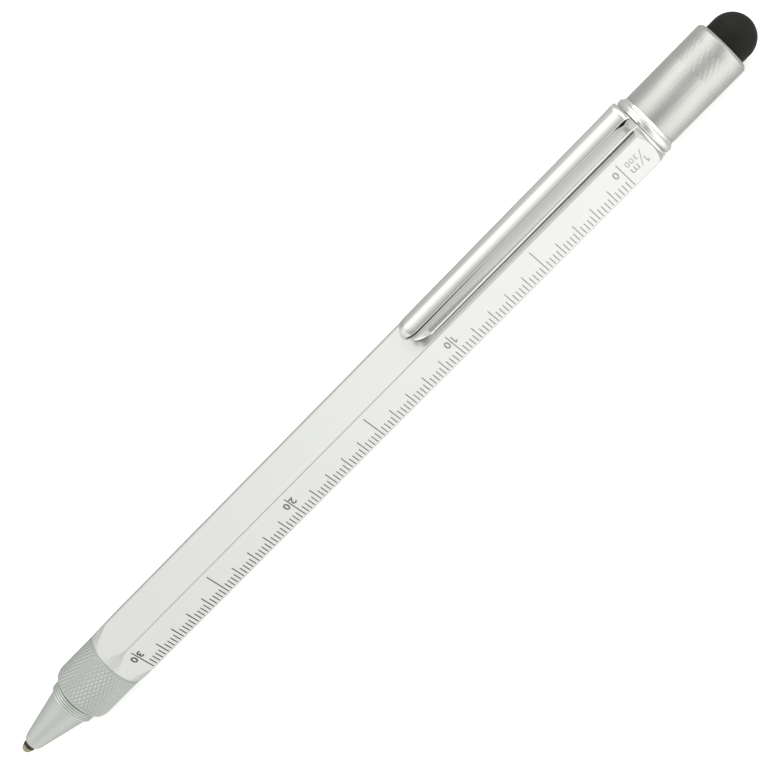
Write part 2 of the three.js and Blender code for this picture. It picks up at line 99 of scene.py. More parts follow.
# Sizes and colours

def length(name, text, default):
    """A size, with its default in millimetres."""
    return bpy.props.FloatProperty(
        name=name, description=text, default=default * MM, unit="LENGTH", subtype="DISTANCE", precision=6)


def share(name, text, default):
    return bpy.props.FloatProperty(
        name=name, description=text, default=default, min=0, max=1, subtype="FACTOR")


def count(name, text, default):
    return bpy.props.IntProperty(name=name, description=text, default=default, min=1)


def colour(name, text, default):
    return bpy.props.FloatVectorProperty(
        name=name, description=text, default=default, size=3, min=0, max=1, subtype="COLOR")


class PenBody(bpy.types.PropertyGroup):
    """Barrel, grip and cap"""

    edge_round: length("Edge rounding", "Rounding radius of the barrel's long edges", 0.35)
    front_chamfer: length("Front chamfer", "Length of the turned chamfer at the grip end", 4.5)
    rear_chamfer: length("Rear chamfer", "Length of the turned chamfer at the cap end", 0.85)
    grip_seam: length("Grip seam", "How far the grip's seam stands behind the model's", 0.255)
    nose_seam: length("Nose seam", "How far the nose's seam stands behind the model's", 0.35)
    end_inset: length("End inset", "How far the barrel's ends are turned below its flats", 0.05)
    wall: length("Barrel wall", "Wall between a flat and the bore", 1.15)
    knurl_pitch: length("Grip knurl pitch", "Length of a knurl diamond along the pen", 1.25)
    knurl_starts: count("Grip knurl starts", "Knurl diamonds round the grip", 50)
    knurl_depth: length("Grip knurl depth", "Depth of the knurl's grooves", 0.16)
    cap_knurl_pitch: length("Cap knurl pitch", "Length of a diamond of the cap's band", 1.2)
    cap_knurl_starts: count("Cap knurl starts", "Diamonds round the cap", 35)
    cap_knurl_depth: length("Cap knurl depth", "Depth of the cap's fine grooves", 0.02)
    cap_knurl_length: length("Cap knurl length", "Width of the knurled band", 3.9)
    cap_knurl_setback: length("Cap knurl setback", "From the cap's end to the band", 1.9)


class PenClip(bpy.types.PropertyGroup):
    """Clip"""

    reach: length("Length", "From the ring to the clip's tip", 43.2)
    crease: length("Crease height", "Height of the fold above the lips", 3.0)
    crown_half: length("Crown half width", "Half the width between the two folds", 1.47)
    lip_half: length("Lip half width", "Half the width between the two lips", 2.05)
    sheet: length("Sheet", "Thickness of the sheet metal", 0.4)
    lip_rise: length("Lip rise", "Height of the lips above the barrel at the ring", 0.4)
    tip_rise: length("Tip rise", "Height of the lips' line above the barrel at the tip", 0.15)
    tip_slope: length("Tip slope", "Length over which the crown rounds down to the tip", 1.3)
    tip_fall: length("Tip fall", "How far the crown comes down to the tip", 1.5)
    tip_taper: length("Tip taper", "Length over which the crown narrows to the tip", 2.2)
    tip_narrow: length("Tip narrowing", "How far each side of the crown comes in at the tip", 0.8)
    cut: length("Diagonal cut", "Length of the diagonal cut of the flanks", 3.2)


class PenPrint(bpy.types.PropertyGroup):
    """Printed scales"""

    spacing: length("Tick spacing", "Distance between two ticks of the 1:300 scale", 1 / 1.5)
    ticks: count("Ticks", "Number of spaces on the scale", 150)
    zero: length("Zero setback", "From the barrel's cap end to the zero tick", 5.4)
    margin_share: share("Margin", "Share of the face left bare at the edge where ticks start", 0.05)
    small_share: share("Small tick", "Share of the face where a small tick ends", 0.31)
    medium_share: share("Medium tick", "Share of the face where a medium tick ends", 0.49)
    long_share: share("Long tick", "Share of the face where a long tick ends", 0.84)
    digit_share: share("Digits", "Share of the face at the middle of the digits", 0.622)
    line: length("Line width", "Width of a printed line", 0.18)
    digit: length("Digit height", "Height of the printed digits", 1.29)
    film: length("Ink film", "Thickness of the ink", 0.012)


class PenLevel(bpy.types.PropertyGroup):
    """Spirit level"""

    window_length: length("Window length", "Opening over the vial", 12.6)
    window_width: length("Window width", "Opening across the face", 4.4)
    window_round: length("Window corner", "Rounding of the opening's corners", 0.6)
    vial_wall: length("Vial wall", "Wall of the clear vial", 0.4)
    mark_width: length("Mark width", "Width of the two lines round the vial", 0.3)
    mark_gap: length("Mark gap", "Distance between the two lines", 3.2)


class PenFinishes(bpy.types.PropertyGroup):
    """Finishes"""

    lacquer: colour("Lacquer", "Satin silver lacquer of the barrel", (0.705, 0.715, 0.69))
    satin: colour("Satin metal", "Grip and nose", (0.64, 0.68, 0.64))
    cap: colour("Cap metal", "Turned satin cap", (0.635, 0.635, 0.61))
    chrome: colour("Chrome", "Clip, ring and collar", (0.86, 0.87, 0.84))
    steel: colour("Steel", "Bit holder, pin and ring", (0.50, 0.51, 0.53))
    tool_steel: colour("Tool steel", "Driver bit", (0.30, 0.30, 0.31))
    nickel: colour("Nickel", "Writing point", (0.40, 0.38, 0.24))
    brass: colour("Brass", "Refill and twist mechanism", (0.78, 0.66, 0.38))
    rubber: colour("Rubber", "Stylus dome and seals", (0.005, 0.005, 0.0035))
    black_plastic: colour("Black plastic", "Tip holder and vial plugs", (0.012, 0.012, 0.012))
    white_plastic: colour("White plastic", "Level cradle", (0.88, 0.88, 0.85))
    liquid: colour("Level liquid", "Yellow-green filling of the vial", (0.72, 0.88, 0.10))
    print_dark: colour("Print, dark", "Ink towards the grip", (0.035, 0.036, 0.030))
    print_light: colour("Print, light", "Ink towards the cap", (0.34, 0.32, 0.32))


class PenStudio(bpy.types.PropertyGroup):
    """Studio"""

    camera_place: bpy.props.FloatVectorProperty(
        name="Camera", description="Place of the camera", size=3, subtype="TRANSLATION", unit="LENGTH",
        precision=5, default=(0.05352, -0.10924, 0.22051))
    camera_turn: bpy.props.FloatVectorProperty(
        name="Camera turn", description="Turn of the camera", size=3, subtype="EULER",
        default=tuple(math.radians(angle) for angle in (12.4453, 26.5117, -39.5472)))
    lens: bpy.props.FloatProperty(
        name="Lens", description="Focal length on a 36 mm sensor", default=79.6955, unit="CAMERA")
    floor: colour("Floor", "Pale floor", (0.97, 0.97, 0.965))
    floor_size: length("Floor size", "Side of the square floor", 4000)
    floor_edge: length("Floor edge", "From the pen to the floor's edge behind it", 2000)


# Shader maths: a Value is a socket, and sums of values add Math nodes

def sum_of(operation, swapped=False):
    """A method that joins a value and what stands beside it by a Math node."""
    def join(self, other):
        first, second = (other, self) if swapped else (self, other)
        return self.shader.math(operation, first, second)

    return join


class Value:
    """An output socket that adds Math nodes when it is used in a sum."""

    __add__, __radd__ = sum_of("ADD"), sum_of("ADD", True)
    __sub__, __rsub__ = sum_of("SUBTRACT"), sum_of("SUBTRACT", True)
    __mul__, __rmul__ = sum_of("MULTIPLY"), sum_of("MULTIPLY", True)
    __truediv__, __rtruediv__ = sum_of("DIVIDE"), sum_of("DIVIDE", True)

    def __init__(self, shader, socket):
        self.shader = shader
        self.socket = socket


class Shader:
    """A node tree that is written as expressions."""

    def __init__(self, owner):
        owner.use_nodes = True
        self.tree = owner.node_tree

    def node(self, kind, settings=None, sockets=None, output=0):
        """Adds a node with its settings and the values or links of its sockets."""
        made = self.tree.nodes.new(kind)
        for name, setting in (settings or {}).items():
            if name == "stops":
                self.set_stops(made.color_ramp.elements, setting)
            else:
                setattr(made, name, setting)
        for name, value in (sockets or {}).items():
            self.feed(made.inputs[name], value)
        return Value(self, made.outputs[output])

    def set_stops(self, elements, stops):
        """Sets a ramp's greys, given as places and values in order."""
        elements[0].position = stops[0][0]
        elements[-1].position = stops[-1][0]
        for place, value in stops[1:-1]:
            elements.new(place)
        for stop, (place, value) in zip(elements, stops):
            stop.color = (value, value, value, 1)

    def math(self, operation, first, second, third=0.0):
        return self.node("ShaderNodeMath", {"operation": operation}, {0: first, 1: second, 2: third})

    def feed(self, socket, value):
        if isinstance(value, Value):
            self.tree.links.new(value.socket, socket)
        else:
            socket.default_value = value

    def noise(self, cells, detail=2.0):
        """Grain with a number of cells in a metre, one for all axes or one for each."""
        place = self.node("ShaderNodeMapping", sockets={
            "Vector": self.node("ShaderNodeTexCoord", output="Object"),
            "Scale": cells if isinstance(cells, tuple) else (cells, cells, cells)})
        return self.node("ShaderNodeTexNoise", sockets={"Vector": place, "Scale": 1.0, "Detail": detail})

    def axes(self, vector, names):
        """The parts of a vector along the named axes."""
        return [self.node("ShaderNodeSeparateXYZ", sockets={0: vector}, output=name) for name in names]

    def attribute(self, name):
        return self.node("ShaderNodeAttribute", {"attribute_name": name}, output="Fac")

    def between(self, factor, first, second):
        """A colour between two colours."""
        return self.node("ShaderNodeMix", {"data_type": "RGBA"},
                         {0: factor, 6: first, 7: second}, output=2)

    def ramp(self, factor, low, high):
        """A number that runs smoothly from 0 to 1 as factor runs from low to high."""
        return self.node("ShaderNodeMapRange", {"interpolation_type": "SMOOTHSTEP"},
                         {"Value": factor, "From Min": low, "From Max": high})


def rgba(tint, factor=1.0):
    """A colour for a socket, made darker or lighter by a factor."""
    return (*(min(1.0, part * factor) for part in tint), 1.0)


class Finish(Shader):
    """A material with one Principled surface."""

    def __init__(self, name, **sockets):
        self.material = bpy.data.materials.new(name)
        super().__init__(self.material)
        self.dress(**sockets)

    def dress(self, **sockets):
        surface = self.tree.nodes["Principled BSDF"]
        for name, value in sockets.items():
            self.feed(surface.inputs[name.replace("_", " ")], value)
        return self.material

    def cover(self, colour, roughness, relief, depth):
        """Sets what changes over the surface, and returns the material."""
        normal = self.node("ShaderNodeBump", sockets={"Height": relief, "Distance": depth, "Strength": 1.0})
        return self.dress(Base_Color=colour, Roughness=roughness, Normal=normal)

    def tones(self, tint, spread, factor):
        """A colour that varies by a share of itself."""
        return self.between(factor, rgba(tint, 1 - spread), rgba(tint, 1 + spread))


def lacquer_finish(tint):
    """Silver lacquer with metal flakes, a slow drift and a faint orange peel."""
    finish = Finish("silver_lacquer", Metallic=0.75, IOR=1.5, Coat_Weight=0.25, Coat_Roughness=0.18)
    flakes = finish.noise(9000)
    drift = finish.noise((30, 180, 180))
    peel = finish.noise(1400)
    blotch = flakes * 0.6 + drift * 0.4
    return finish.cover(
        finish.tones(tint, spread=0.03, factor=blotch), roughness=0.22 + drift * 0.05,
        relief=peel + flakes * 0.4, depth=0.0025 * MM)


def turned_finish(name, tint, roughness, depth):
    """Metal turned in a lathe, with fine rings round the pen's axis and painted shade in the knurl grooves.
    """
    finish = Finish(name, Metallic=1.0)
    rings = finish.noise((16000, 160, 160), detail=3.0)
    bands = finish.noise((1500, 60, 60))
    mist = finish.noise(420, detail=3.0)
    bright = finish.tones(tint, spread=0.05, factor=rings * 0.4 + bands * 0.3 + mist * 0.3)
    # Painted shade: the knurl grooves run down to a third of the tint, where shade falls in them
    return finish.cover(
        finish.between(finish.attribute("groove"), bright, rgba(tint, 0.3)),
        roughness=roughness - 0.05 + mist * 0.1, relief=rings, depth=depth)


def blasted_finish(name, tint, roughness, depth):
    """Metal with an even satin grain."""
    finish = Finish(name, Metallic=1.0)
    grain = finish.noise(7000, detail=3.0)
    mist = finish.noise(300, detail=3.0)
    return finish.cover(
        finish.tones(tint, spread=0.05, factor=grain * 0.5 + mist * 0.5),
        roughness=roughness - 0.05 + mist * 0.1, relief=grain, depth=depth)


def chrome_finish(tint):
    """Plating with a faint smear and ripple, with painted shade in the clip's slit and near its tip and a
    painted darker reflection on its flanks.
    """
    finish = Finish("chrome", Metallic=1.0)
    smear = finish.noise((120, 600, 600), detail=4.0)
    ripple = finish.noise((90, 260, 260), detail=1.0)
    # Painted shade and painted darker reflection, laid on the clip by its skirt
    fold = finish.attribute("fold")
    plated = finish.tones(tint, spread=0.015, factor=smear)
    return finish.cover(
        finish.between(fold, plated, rgba(tint, 0.05)), roughness=0.03 + smear * 0.06 + fold * 0.2,
        relief=ripple, depth=0.004 * MM)


def rubber_finish(tint):
    """Soft rubber with a fine grain and a little dust."""
    finish = Finish("stylus_rubber", IOR=1.5, Specular_IOR_Level=0.25)
    grain = finish.noise(5000, detail=3.0)
    dust = finish.noise(900, detail=4.0)
    return finish.cover(
        finish.tones(tint, spread=0.18, factor=dust), roughness=0.5 + dust * 0.15,
        relief=grain, depth=0.006 * MM)


def plastic_finish(name, tint, roughness):
    """Moulded plastic."""
    finish = Finish(name, IOR=1.5)
    grain = finish.noise(2600)
    cloud = finish.noise(500)
    return finish.cover(
        finish.tones(tint, spread=0.06, factor=cloud), roughness=roughness + grain * 0.08,
        relief=grain, depth=0.003 * MM)


def clear_finish(name, tint, ior, roughness, clearness=1.0):
    """Something that light goes through, with a faint haze."""
    finish = Finish(name, IOR=ior, Transmission_Weight=clearness)
    haze = finish.noise(1500)
    return finish.cover(
        finish.tones(tint, spread=0.01, factor=haze), roughness=roughness + haze * 0.02,
        relief=haze, depth=0.001 * MM)


def print_finish(dark, light):
    """Ink that runs lighter towards the cap."""
    finish = Finish("print_ink", IOR=1.45)
    along, = finish.axes(finish.node("ShaderNodeTexCoord", output="Object"), "X")
    specks = finish.noise(6000)
    towards_cap = finish.ramp(along + (specks - 0.5) * 0.02, BARREL_LOW.x, BARREL_HIGH.x)
    return finish.cover(
        finish.between(towards_cap, rgba(dark), rgba(light)), roughness=0.45 + specks * 0.1,
        relief=specks, depth=0.002 * MM)


# The materials by the names of the slots that they fill
finishes = {}


# Outlines: corners as a place along the pen, a radius and, for a rounded corner, its rounding

def softened(outline, steps=4):
    """An outline's points, with its rounded corners as arcs that take less than half of a side."""
    most = 0.49
    points = []
    for index, (place, radius, *rounding) in enumerate(outline):
        corner = Vector((place, radius))
        if not rounding:
            points.append(corner)
            continue
        before = Vector(outline[index - 1][:2]) - corner
        after = Vector(outline[index + 1][:2]) - corner
        half = before.angle(after) / 2
        reach = min(rounding[0] / math.tan(half), most * before.length, most * after.length)
        start = corner + before.normalized() * reach
        end = corner + after.normalized() * reach
        middle = corner + (start + end - 2 * corner).normalized() * reach / math.cos(half)
        size = reach * math.tan(half)
        first = (start - middle).normalized()
        last = (end - middle).normalized()
        points += [middle + first.slerp(last, step / steps) * size for step in range(steps + 1)]
    return [(point.x, max(0.0, point.y)) for point in points]


def profile(start, *corners):
    """An outline's corners from millimetres, with places counted from start."""
    return [(start + place * MM, *(size * MM for size in sizes)) for place, *sizes in corners]


def tube(front, rear, bore, radius, edge=0, steps=4):
    """The outline of a tube, or of a rod where bore is 0, with its outer edges rounded."""
    rounding = (edge,) if edge else ()
    return softened(
        [(front, bore), (front, radius, *rounding), (rear, radius, *rounding), (rear, bore)], steps)


def arc(start, end, radius, steps=24):
    """A quarter oval from a radius at start down to the axis at end."""
    turns = [math.pi / 2 * step / steps for step in range(steps)]
    return [(start + (end - start) * math.sin(turn), radius * math.cos(turn)) for turn in turns] + [(end, 0)]


def rings(front, rear, step):
    """Places from front to rear, at most a step apart."""
    spaces = max(1, math.ceil((rear - front) / step))
    return [front + (rear - front) * space / spaces for space in range(spaces + 1)]


# Mesh helpers

def turned(outline, steps=144):
    """Spins an outline about the pen's axis, and closes it first where it starts off the axis."""
    bm = bmesh.new()
    verts = [bm.verts.new((place, 0, AXIS_HEIGHT + radius)) for place, radius in outline]
    edges = [bm.edges.new(pair) for pair in zip(verts, verts[1:])]
    if outline[0][1] > 0:
        edges.append(bm.edges.new((verts[-1], verts[0])))
    bmesh.ops.spin(bm, geom=verts + edges, cent=(0, 0, AXIS_HEIGHT), axis=(1, 0, 0),
                   angle=FULL_TURN, steps=steps, use_merge=True)
    bmesh.ops.remove_doubles(bm, verts=bm.verts, dist=MERGE)
    bmesh.ops.recalc_face_normals(bm, faces=bm.faces)
    return bm


def polar(vert):
    """The turn of a vertex about the pen's axis, and its radius."""
    across, up = vert.co.y, vert.co.z - AXIS_HEIGHT
    return math.atan2(across, up) / FULL_TURN, math.hypot(across, up)


def sink(vert, depth):
    """Moves a vertex towards the pen's axis."""
    radius = polar(vert)[1]
    scale = (radius - depth) / radius
    vert.co.y *= scale
    vert.co.z = AXIS_HEIGHT + (vert.co.z - AXIS_HEIGHT) * scale


def valley(phase):
    """One at each whole number and nothing halfway between, in straight slopes."""
    return abs((phase % 1) - 0.5) * 2


def knurl(bm, front, rear, least, starts, pitch, depth, fade):
    """Presses crossed grooves into the vertices between two places and outside the least radius, and paints
    shade into the grooves.
    """
    groove = bm.verts.layers.float.new("groove")
    # The groove layer holds painted shade; grooves this deep get the darkest
    full_shade_depth = 0.4 * MM
    shade_sharpness, wall_sharpness = 4, 1.6
    for vert in bm.verts:
        turn, reach = polar(vert)
        if not front <= vert.co.x <= rear or reach < least:
            continue
        along = (vert.co.x - front) / pitch
        deepest = max(valley(turn * starts + along), valley(turn * starts - along))
        edge = min(1, min(vert.co.x - front, rear - vert.co.x) / fade)
        # Painted shade, darkest at the bottoms of the grooves
        vert[groove] = deepest ** shade_sharpness * max(0, edge) * depth / full_shade_depth
        sink(vert, depth * deepest ** wall_sharpness * edge)


def thread(bm, front, rear, radius, pitch, depth):
    """Presses a right-handed thread into the vertices on a turned cylinder."""
    for vert in bm.verts:
        turn, reach = polar(vert)
        if not front <= vert.co.x <= rear or abs(reach - radius) > MERGE * 10:
            continue
        edge = min(vert.co.x - front, rear - vert.co.x) / pitch
        sink(vert, depth * valley((vert.co.x - front) / pitch + turn) * min(1, edge))


def bevel(bm, edges, offset, segments):
    bmesh.ops.bevel(bm, geom=edges, offset=offset, offset_type="OFFSET", segments=segments,
                    profile=0.5, affect="EDGES", material=-1)


def hex_rod(flats, front, rear, edge, steps=5):
    """A hexagonal rod along the pen, with a flat on top and rounded long edges."""
    bm = bmesh.new()
    corner = flats / 2 / math.cos(HALF_FACE)
    place = Matrix.Translation((front, 0, AXIS_HEIGHT)) @ Matrix.Rotation(math.pi / 2, 4, "Y")
    bmesh.ops.create_circle(bm, cap_ends=True, segments=6, radius=corner, matrix=place)
    raised = bmesh.ops.extrude_face_region(bm, geom=bm.faces[:])["geom"]
    moved = [item for item in raised if isinstance(item, bmesh.types.BMVert)]
    bmesh.ops.translate(bm, verts=moved, vec=(rear - front, 0, 0))
    long_edges = [item for item in bm.edges
                  if abs(item.verts[0].co.x - item.verts[1].co.x) > (rear - front) / 2]
    bevel(bm, long_edges, edge * math.tan(HALF_FACE), steps)
    bmesh.ops.recalc_face_normals(bm, faces=bm.faces)
    return bm


def box(bm, low, high, place=Matrix.Identity(4)):
    """Adds a box between two corners, put in place by a matrix."""
    middle = (Vector(low) + Vector(high)) / 2
    size = Vector(high) - Vector(low)
    matrix = place @ Matrix.Translation(middle) @ Matrix.Diagonal((*size, 1))
    bmesh.ops.create_cube(bm, size=1, matrix=matrix)


def new_object(name, data):
    made = bpy.data.objects.new(name, data)
    bpy.context.scene.collection.objects.link(made)
    return made


def to_object(bm, name):
    mesh = bpy.data.meshes.new(name)
    bm.to_mesh(mesh)
    bm.free()
    return new_object(name, mesh)


def final_mesh(item):
    """A new mesh with an object's modifiers applied, or with the letters of a text."""
    bpy.context.view_layer.update()
    return bpy.data.meshes.new_from_object(item.evaluated_get(bpy.context.evaluated_depsgraph_get()))


def carve(item, bm, operation="DIFFERENCE"):
    """Cuts the solid in bm from an object, adds it, or keeps only what both share."""
    tool = to_object(bm, "tool")
    modifier = item.modifiers.new("carve", "BOOLEAN")
    modifier.operation = operation
    modifier.solver = "EXACT"
    modifier.object = tool
    mesh = final_mesh(item)
    item.modifiers.clear()
    item.data = mesh
    bpy.data.objects.remove(tool)


def tidy_mesh(item):
    """Merges what a cut leaves doubled."""
    bm = bmesh.new()
    bm.from_mesh(item.data)
    bmesh.ops.remove_doubles(bm, verts=bm.verts, dist=MERGE * 10)
    bmesh.ops.dissolve_degenerate(bm, edges=bm.edges, dist=MERGE * 10)
    bm.to_mesh(item.data)
    bm.free()


def paint(item, slot):
    item.data.materials.clear()
    item.data.materials.append(finishes[slot])


def dress(item, slot, body, *nodes, angle=SHARP_ANGLE):
    """Gives a piece its finish, smooth faces and a body to ride on, in place of nodes of the model."""
    paint(item, slot)
    item.data.shade_smooth()
    item.data.set_sharp_from_angle(angle=angle)
    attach(item, body)
    if nodes:
        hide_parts(*nodes)


def piece(name, bm, slot, body, *nodes, angle=SHARP_ANGLE):
    dress(to_object(bm, name), slot, body, *nodes, angle=angle)


def face_frame(face, place):
    """A matrix on a barrel face: first axis towards the grip, second up the face, third outwards."""
    angle = face * SIXTH_TURN
    out = Vector((0, -math.sin(angle), math.cos(angle)))
    reading = Vector((-1, 0, 0))
    up = out.cross(reading)
    matrix = Matrix((reading, up, out)).transposed().to_4x4()
    matrix.translation = Vector((place, 0, AXIS_HEIGHT)) + out * FACE_RADIUS
    return matrix


# Operators

class PEN_OT_finishes(bpy.types.Operator):
    """Make the materials"""

    bl_idname = "pen.finishes"
    bl_label = "Finishes"

    def execute(self, context):
        tints = context.scene.pen_finishes
        finishes.update(
            silver_lacquer=lacquer_finish(tints.lacquer),
            satin_silver=turned_finish("satin_silver", tints.satin, 0.44, 0.002 * MM),
            satin_cap=turned_finish("satin_cap", tints.cap, 0.27, 0.0015 * MM),
            chrome=chrome_finish(tints.chrome),
            steel=turned_finish("machined_steel", tints.steel, 0.30, 0.002 * MM),
            tool_steel=blasted_finish("ground_tool_steel", tints.tool_steel, 0.38, 0.002 * MM),
            nickel=turned_finish("nickel_plate", tints.nickel, 0.20, 0.001 * MM),
            brass=turned_finish("machined_brass", tints.brass, 0.28, 0.0015 * MM),
            stylus_rubber=rubber_finish(tints.rubber),
            black_plastic=plastic_finish("black_plastic", tints.black_plastic, 0.35),
            white_plastic=plastic_finish("white_plastic", tints.white_plastic, 0.4),
            clear_acrylic=clear_finish("clear_acrylic", (0.97, 1.0, 0.98), 1.49, 0.02),
            level_liquid=clear_finish("level_liquid", tints.liquid, 1.36, 0.01),
            bubble=clear_finish("bubble_air", (1.0, 1.0, 0.96), 1.3, 0.01, clearness=0.75),
            ink=print_finish(tints.print_dark, tints.print_light),
            refill_ink=plastic_finish("refill_ink", (0.008, 0.010, 0.030), 0.2),
        )
        return {"FINISHED"}


class PEN_OT_barrel(bpy.types.Operator):
    """Build the hexagonal barrel with turned ends, bore and level window"""

    bl_idname = "pen.barrel"
    bl_label = "Barrel"

    def execute(self, context):
        body = context.scene.pen_body
        front, rear = BARREL_LOW.x + body.grip_seam, BARREL_HIGH.x
        over = body.end_inset
        end_radius = FACE_RADIUS - over
        bore = FACE_RADIUS - body.wall
        envelope = softened([
            (front, 0), (front, end_radius, 0.05 * MM),
            (front + body.front_chamfer, CORNER_RADIUS + over),
            (rear - body.rear_chamfer, CORNER_RADIUS + over),
            (rear, end_radius, 0.12 * MM), (rear, 0)])
        barrel = to_object(hex_rod(2 * FACE_RADIUS, front, rear, body.edge_round), "barrel_body")
        carve(barrel, turned(envelope, steps=288), "INTERSECT")
        carve(barrel, turned(tube(front - over, rear + over, 0, bore), steps=96))
        carve(barrel, self.window(context.scene.pen_level, 2 * bore))
        tidy_mesh(barrel)
        dress(barrel, "silver_lacquer", "barrel", "hex_barrel", angle=math.radians(22))
        # Keeps the large flat faces flat beside their rounded edges
        even = barrel.modifiers.new("even normals", "WEIGHTED_NORMAL")
        even.keep_sharp = True
        even.weight = 100
        return {"FINISHED"}

    def window(self, level, depth):
        """The cutter of the vial's window, with round corners."""
        bm = bmesh.new()
        place = face_frame(LEVEL_FACE, middle_of("level_vial").x)
        half_length = level.window_length / 2
        half_width = level.window_width / 2
        box(bm, (-half_length, -half_width, -depth / 2), (half_length, half_width, depth), place)
        out = place.to_3x3() @ Vector((0, 0, 1))
        nearly_along = 0.99
        upright = [edge for edge in bm.edges
                   if abs((edge.verts[0].co - edge.verts[1].co).normalized().dot(out)) > nearly_along]
        bevel(bm, upright, level.window_round, segments=6)
        bmesh.ops.recalc_face_normals(bm, faces=bm.faces)
        return bm


class PEN_OT_level(bpy.types.Operator):
    """Build the spirit level's vial, marks, plugs, bubble and liquid"""

    bl_idname = "pen.level"
    bl_label = "Spirit level"

    def execute(self, context):
        level = context.scene.pen_level
        centre = middle_of("level_vial")
        radius = radius_of("level_vial")
        edge, line = 0.08 * MM, 0.02 * MM
        self.add("vial_glass", "clear_acrylic", centre, "level_vial", steps=64, outline=tube(
            *span("level_vial"), radius - level.vial_wall, radius, edge))
        for name, side in (("vial_mark_front", -1), ("vial_mark_rear", 1)):
            front = centre.x + side * level.mark_gap / 2 - level.mark_width / 2
            self.add(name, "black_plastic", centre, steps=64, outline=tube(
                front, front + level.mark_width, radius, radius + line))
        for node in ("level_plug_front", "level_plug_rear"):
            self.add(node + "_fine", "black_plastic", centre, node, steps=48, outline=tube(
                *span(node), 0, radius_of(node), edge))
        size = half_height_of("level_bubble")
        self.add("bubble_fine", "bubble", middle_of("level_bubble"), "level_bubble", body="bubble",
                 steps=48, outline=tube(*span("level_bubble"), 0, size, size, steps=10))
        self.add("liquid_filling", "level_liquid", centre, "level_liquid", steps=64, outline=tube(
            *span("level_liquid"), 0, radius_of("level_liquid"), edge))
        return {"FINISHED"}

    def add(self, name, slot, centre, *nodes, steps, outline, body="barrel"):
        """Adds a piece turned about an axis along the pen through centre."""
        bm = turned(outline, steps)
        bmesh.ops.translate(bm, verts=bm.verts, vec=centre - Vector((centre.x, 0, AXIS_HEIGHT)))
        piece(name, bm, slot, body, *nodes)


# How far the outlines of printed digits are moved outwards, as a share of their size
BOLD = 0.025


def up_face(part):
    """The height above a face's middle at a share of its width, counted from the upper edge."""
    return FACE_WIDTH / 2 - part * FACE_WIDTH


def add_ticks(bm, ink, matrix, spaces, spacing, half, whole, long_share):
    """Adds a row of printed lines, longer at each half and longest at each whole."""
    for tick in range(spaces + 1):
        part = long_share if tick % whole == 0 else ink.medium_share if tick % half == 0 else ink.small_share
        place = tick * spacing
        box(bm, (place - ink.line / 2, up_face(part), -ink.film / 2),
            (place + ink.line / 2, up_face(ink.margin_share), ink.film / 2), matrix)


def add_one(bm, height, matrix, film):
    """Adds a printed one with a flag, centred on the matrix."""
    line = 0.15 * height
    flag = 0.42 * height
    lean = Matrix.Rotation(math.radians(-52), 4, "Z")
    box(bm, (0, -height / 2, -film / 2), (line, height / 2, film / 2), matrix)
    box(bm, (-line, -flag, -film / 2), (0, 0, film / 2),
        matrix @ Matrix.Translation((line * 0.9, height / 2, 0)) @ lean)


def add_words(bm, words, height, matrix, film, weight=BOLD):
    """Adds printed words whose figures have the given height, centred on the matrix."""
    if words == "1":
        add_one(bm, height, matrix, film)
        return
    curve = bpy.data.curves.new("words", "FONT")
    curve.body = words
    curve.size = 1
    curve.extrude = 0.5
    curve.offset = weight
    curve.space_character = 1.12
    curve.align_x = "CENTER"
    curve.align_y = "CENTER"
    curve.resolution_u = 4
    item = new_object("words", curve)
    mesh = final_mesh(item)
    bpy.data.objects.remove(item)
    heights = [vert.co.y for vert in mesh.vertices]
    scale = height / (max(heights) - min(heights))
    mesh.transform(Matrix.Translation((0, -(max(heights) + min(heights)) / 2, 0)))
    mesh.transform(matrix @ Matrix.Diagonal((scale, scale, film, 1)))
    bm.from_mesh(mesh)
    bpy.data.meshes.remove(mesh)
    bmesh.ops.remove_doubles(bm, verts=bm.verts, dist=MERGE)


def print_piece(name, bm):
    bmesh.ops.recalc_face_normals(bm, faces=bm.faces)
    piece(name, bm, "ink", "barrel")


class PEN_OT_print(bpy.types.Operator):
    """Print the 1:300 scale on the front face"""

    bl_idname = "pen.print"
    bl_label = "Printed scale"

    # Words of the legend: millimetres from zero, share of the face, height in millimetres
    legend = (("1", -3.68, 0.37, 1.1), ("300", -1.94, 0.617, 0.95), ("m", -1.6, 0.38, 0.9))
    # The fraction's stroke: width, length and place in millimetres, and lean in degrees
    stroke = (0.13, 2.64, -3.21, -25)

    def execute(self, context):
        ink = context.scene.pen_print
        matrix = face_frame(PRINT_FACE, BARREL_HIGH.x - ink.zero)
        small, large = 5, 25
        bm = bmesh.new()
        add_ticks(bm, ink, matrix, ink.ticks, ink.spacing, small, large, ink.long_share)
        print_piece("scale_ticks", bm)
        row = up_face(ink.digit_share)
        beside_zero, left, right = 0.98 * MM, -0.56 * MM, 0.72 * MM
        figures = [("0", beside_zero, row, ink.digit, BOLD)]
        for tens in (1, 2, 3):
            place = tens * 2 * large * ink.spacing
            figures += [(digit, place + side, row, ink.digit, BOLD)
                        for digit, side in ((str(tens), left), ("0", right))]
        figures += [(words, place * MM, up_face(part), height * MM, 0.0)
                    for words, place, part, height in self.legend]
        bm = bmesh.new()
        for words, place, up, height, weight in figures:
            add_words(bm, words, height, matrix @ Matrix.Translation((place, up, 0)), ink.film, weight)
        width, reach, place, lean = self.stroke
        turn = Matrix.Translation((place * MM, up_face(0.5), 0)) @ Matrix.Rotation(math.radians(lean), 4, "Z")
        corner = Vector((width * MM, reach * MM, ink.film)) / 2
        box(bm, -corner, corner, matrix @ turn)
        print_piece("scale_figures", bm)
        return {"FINISHED"}


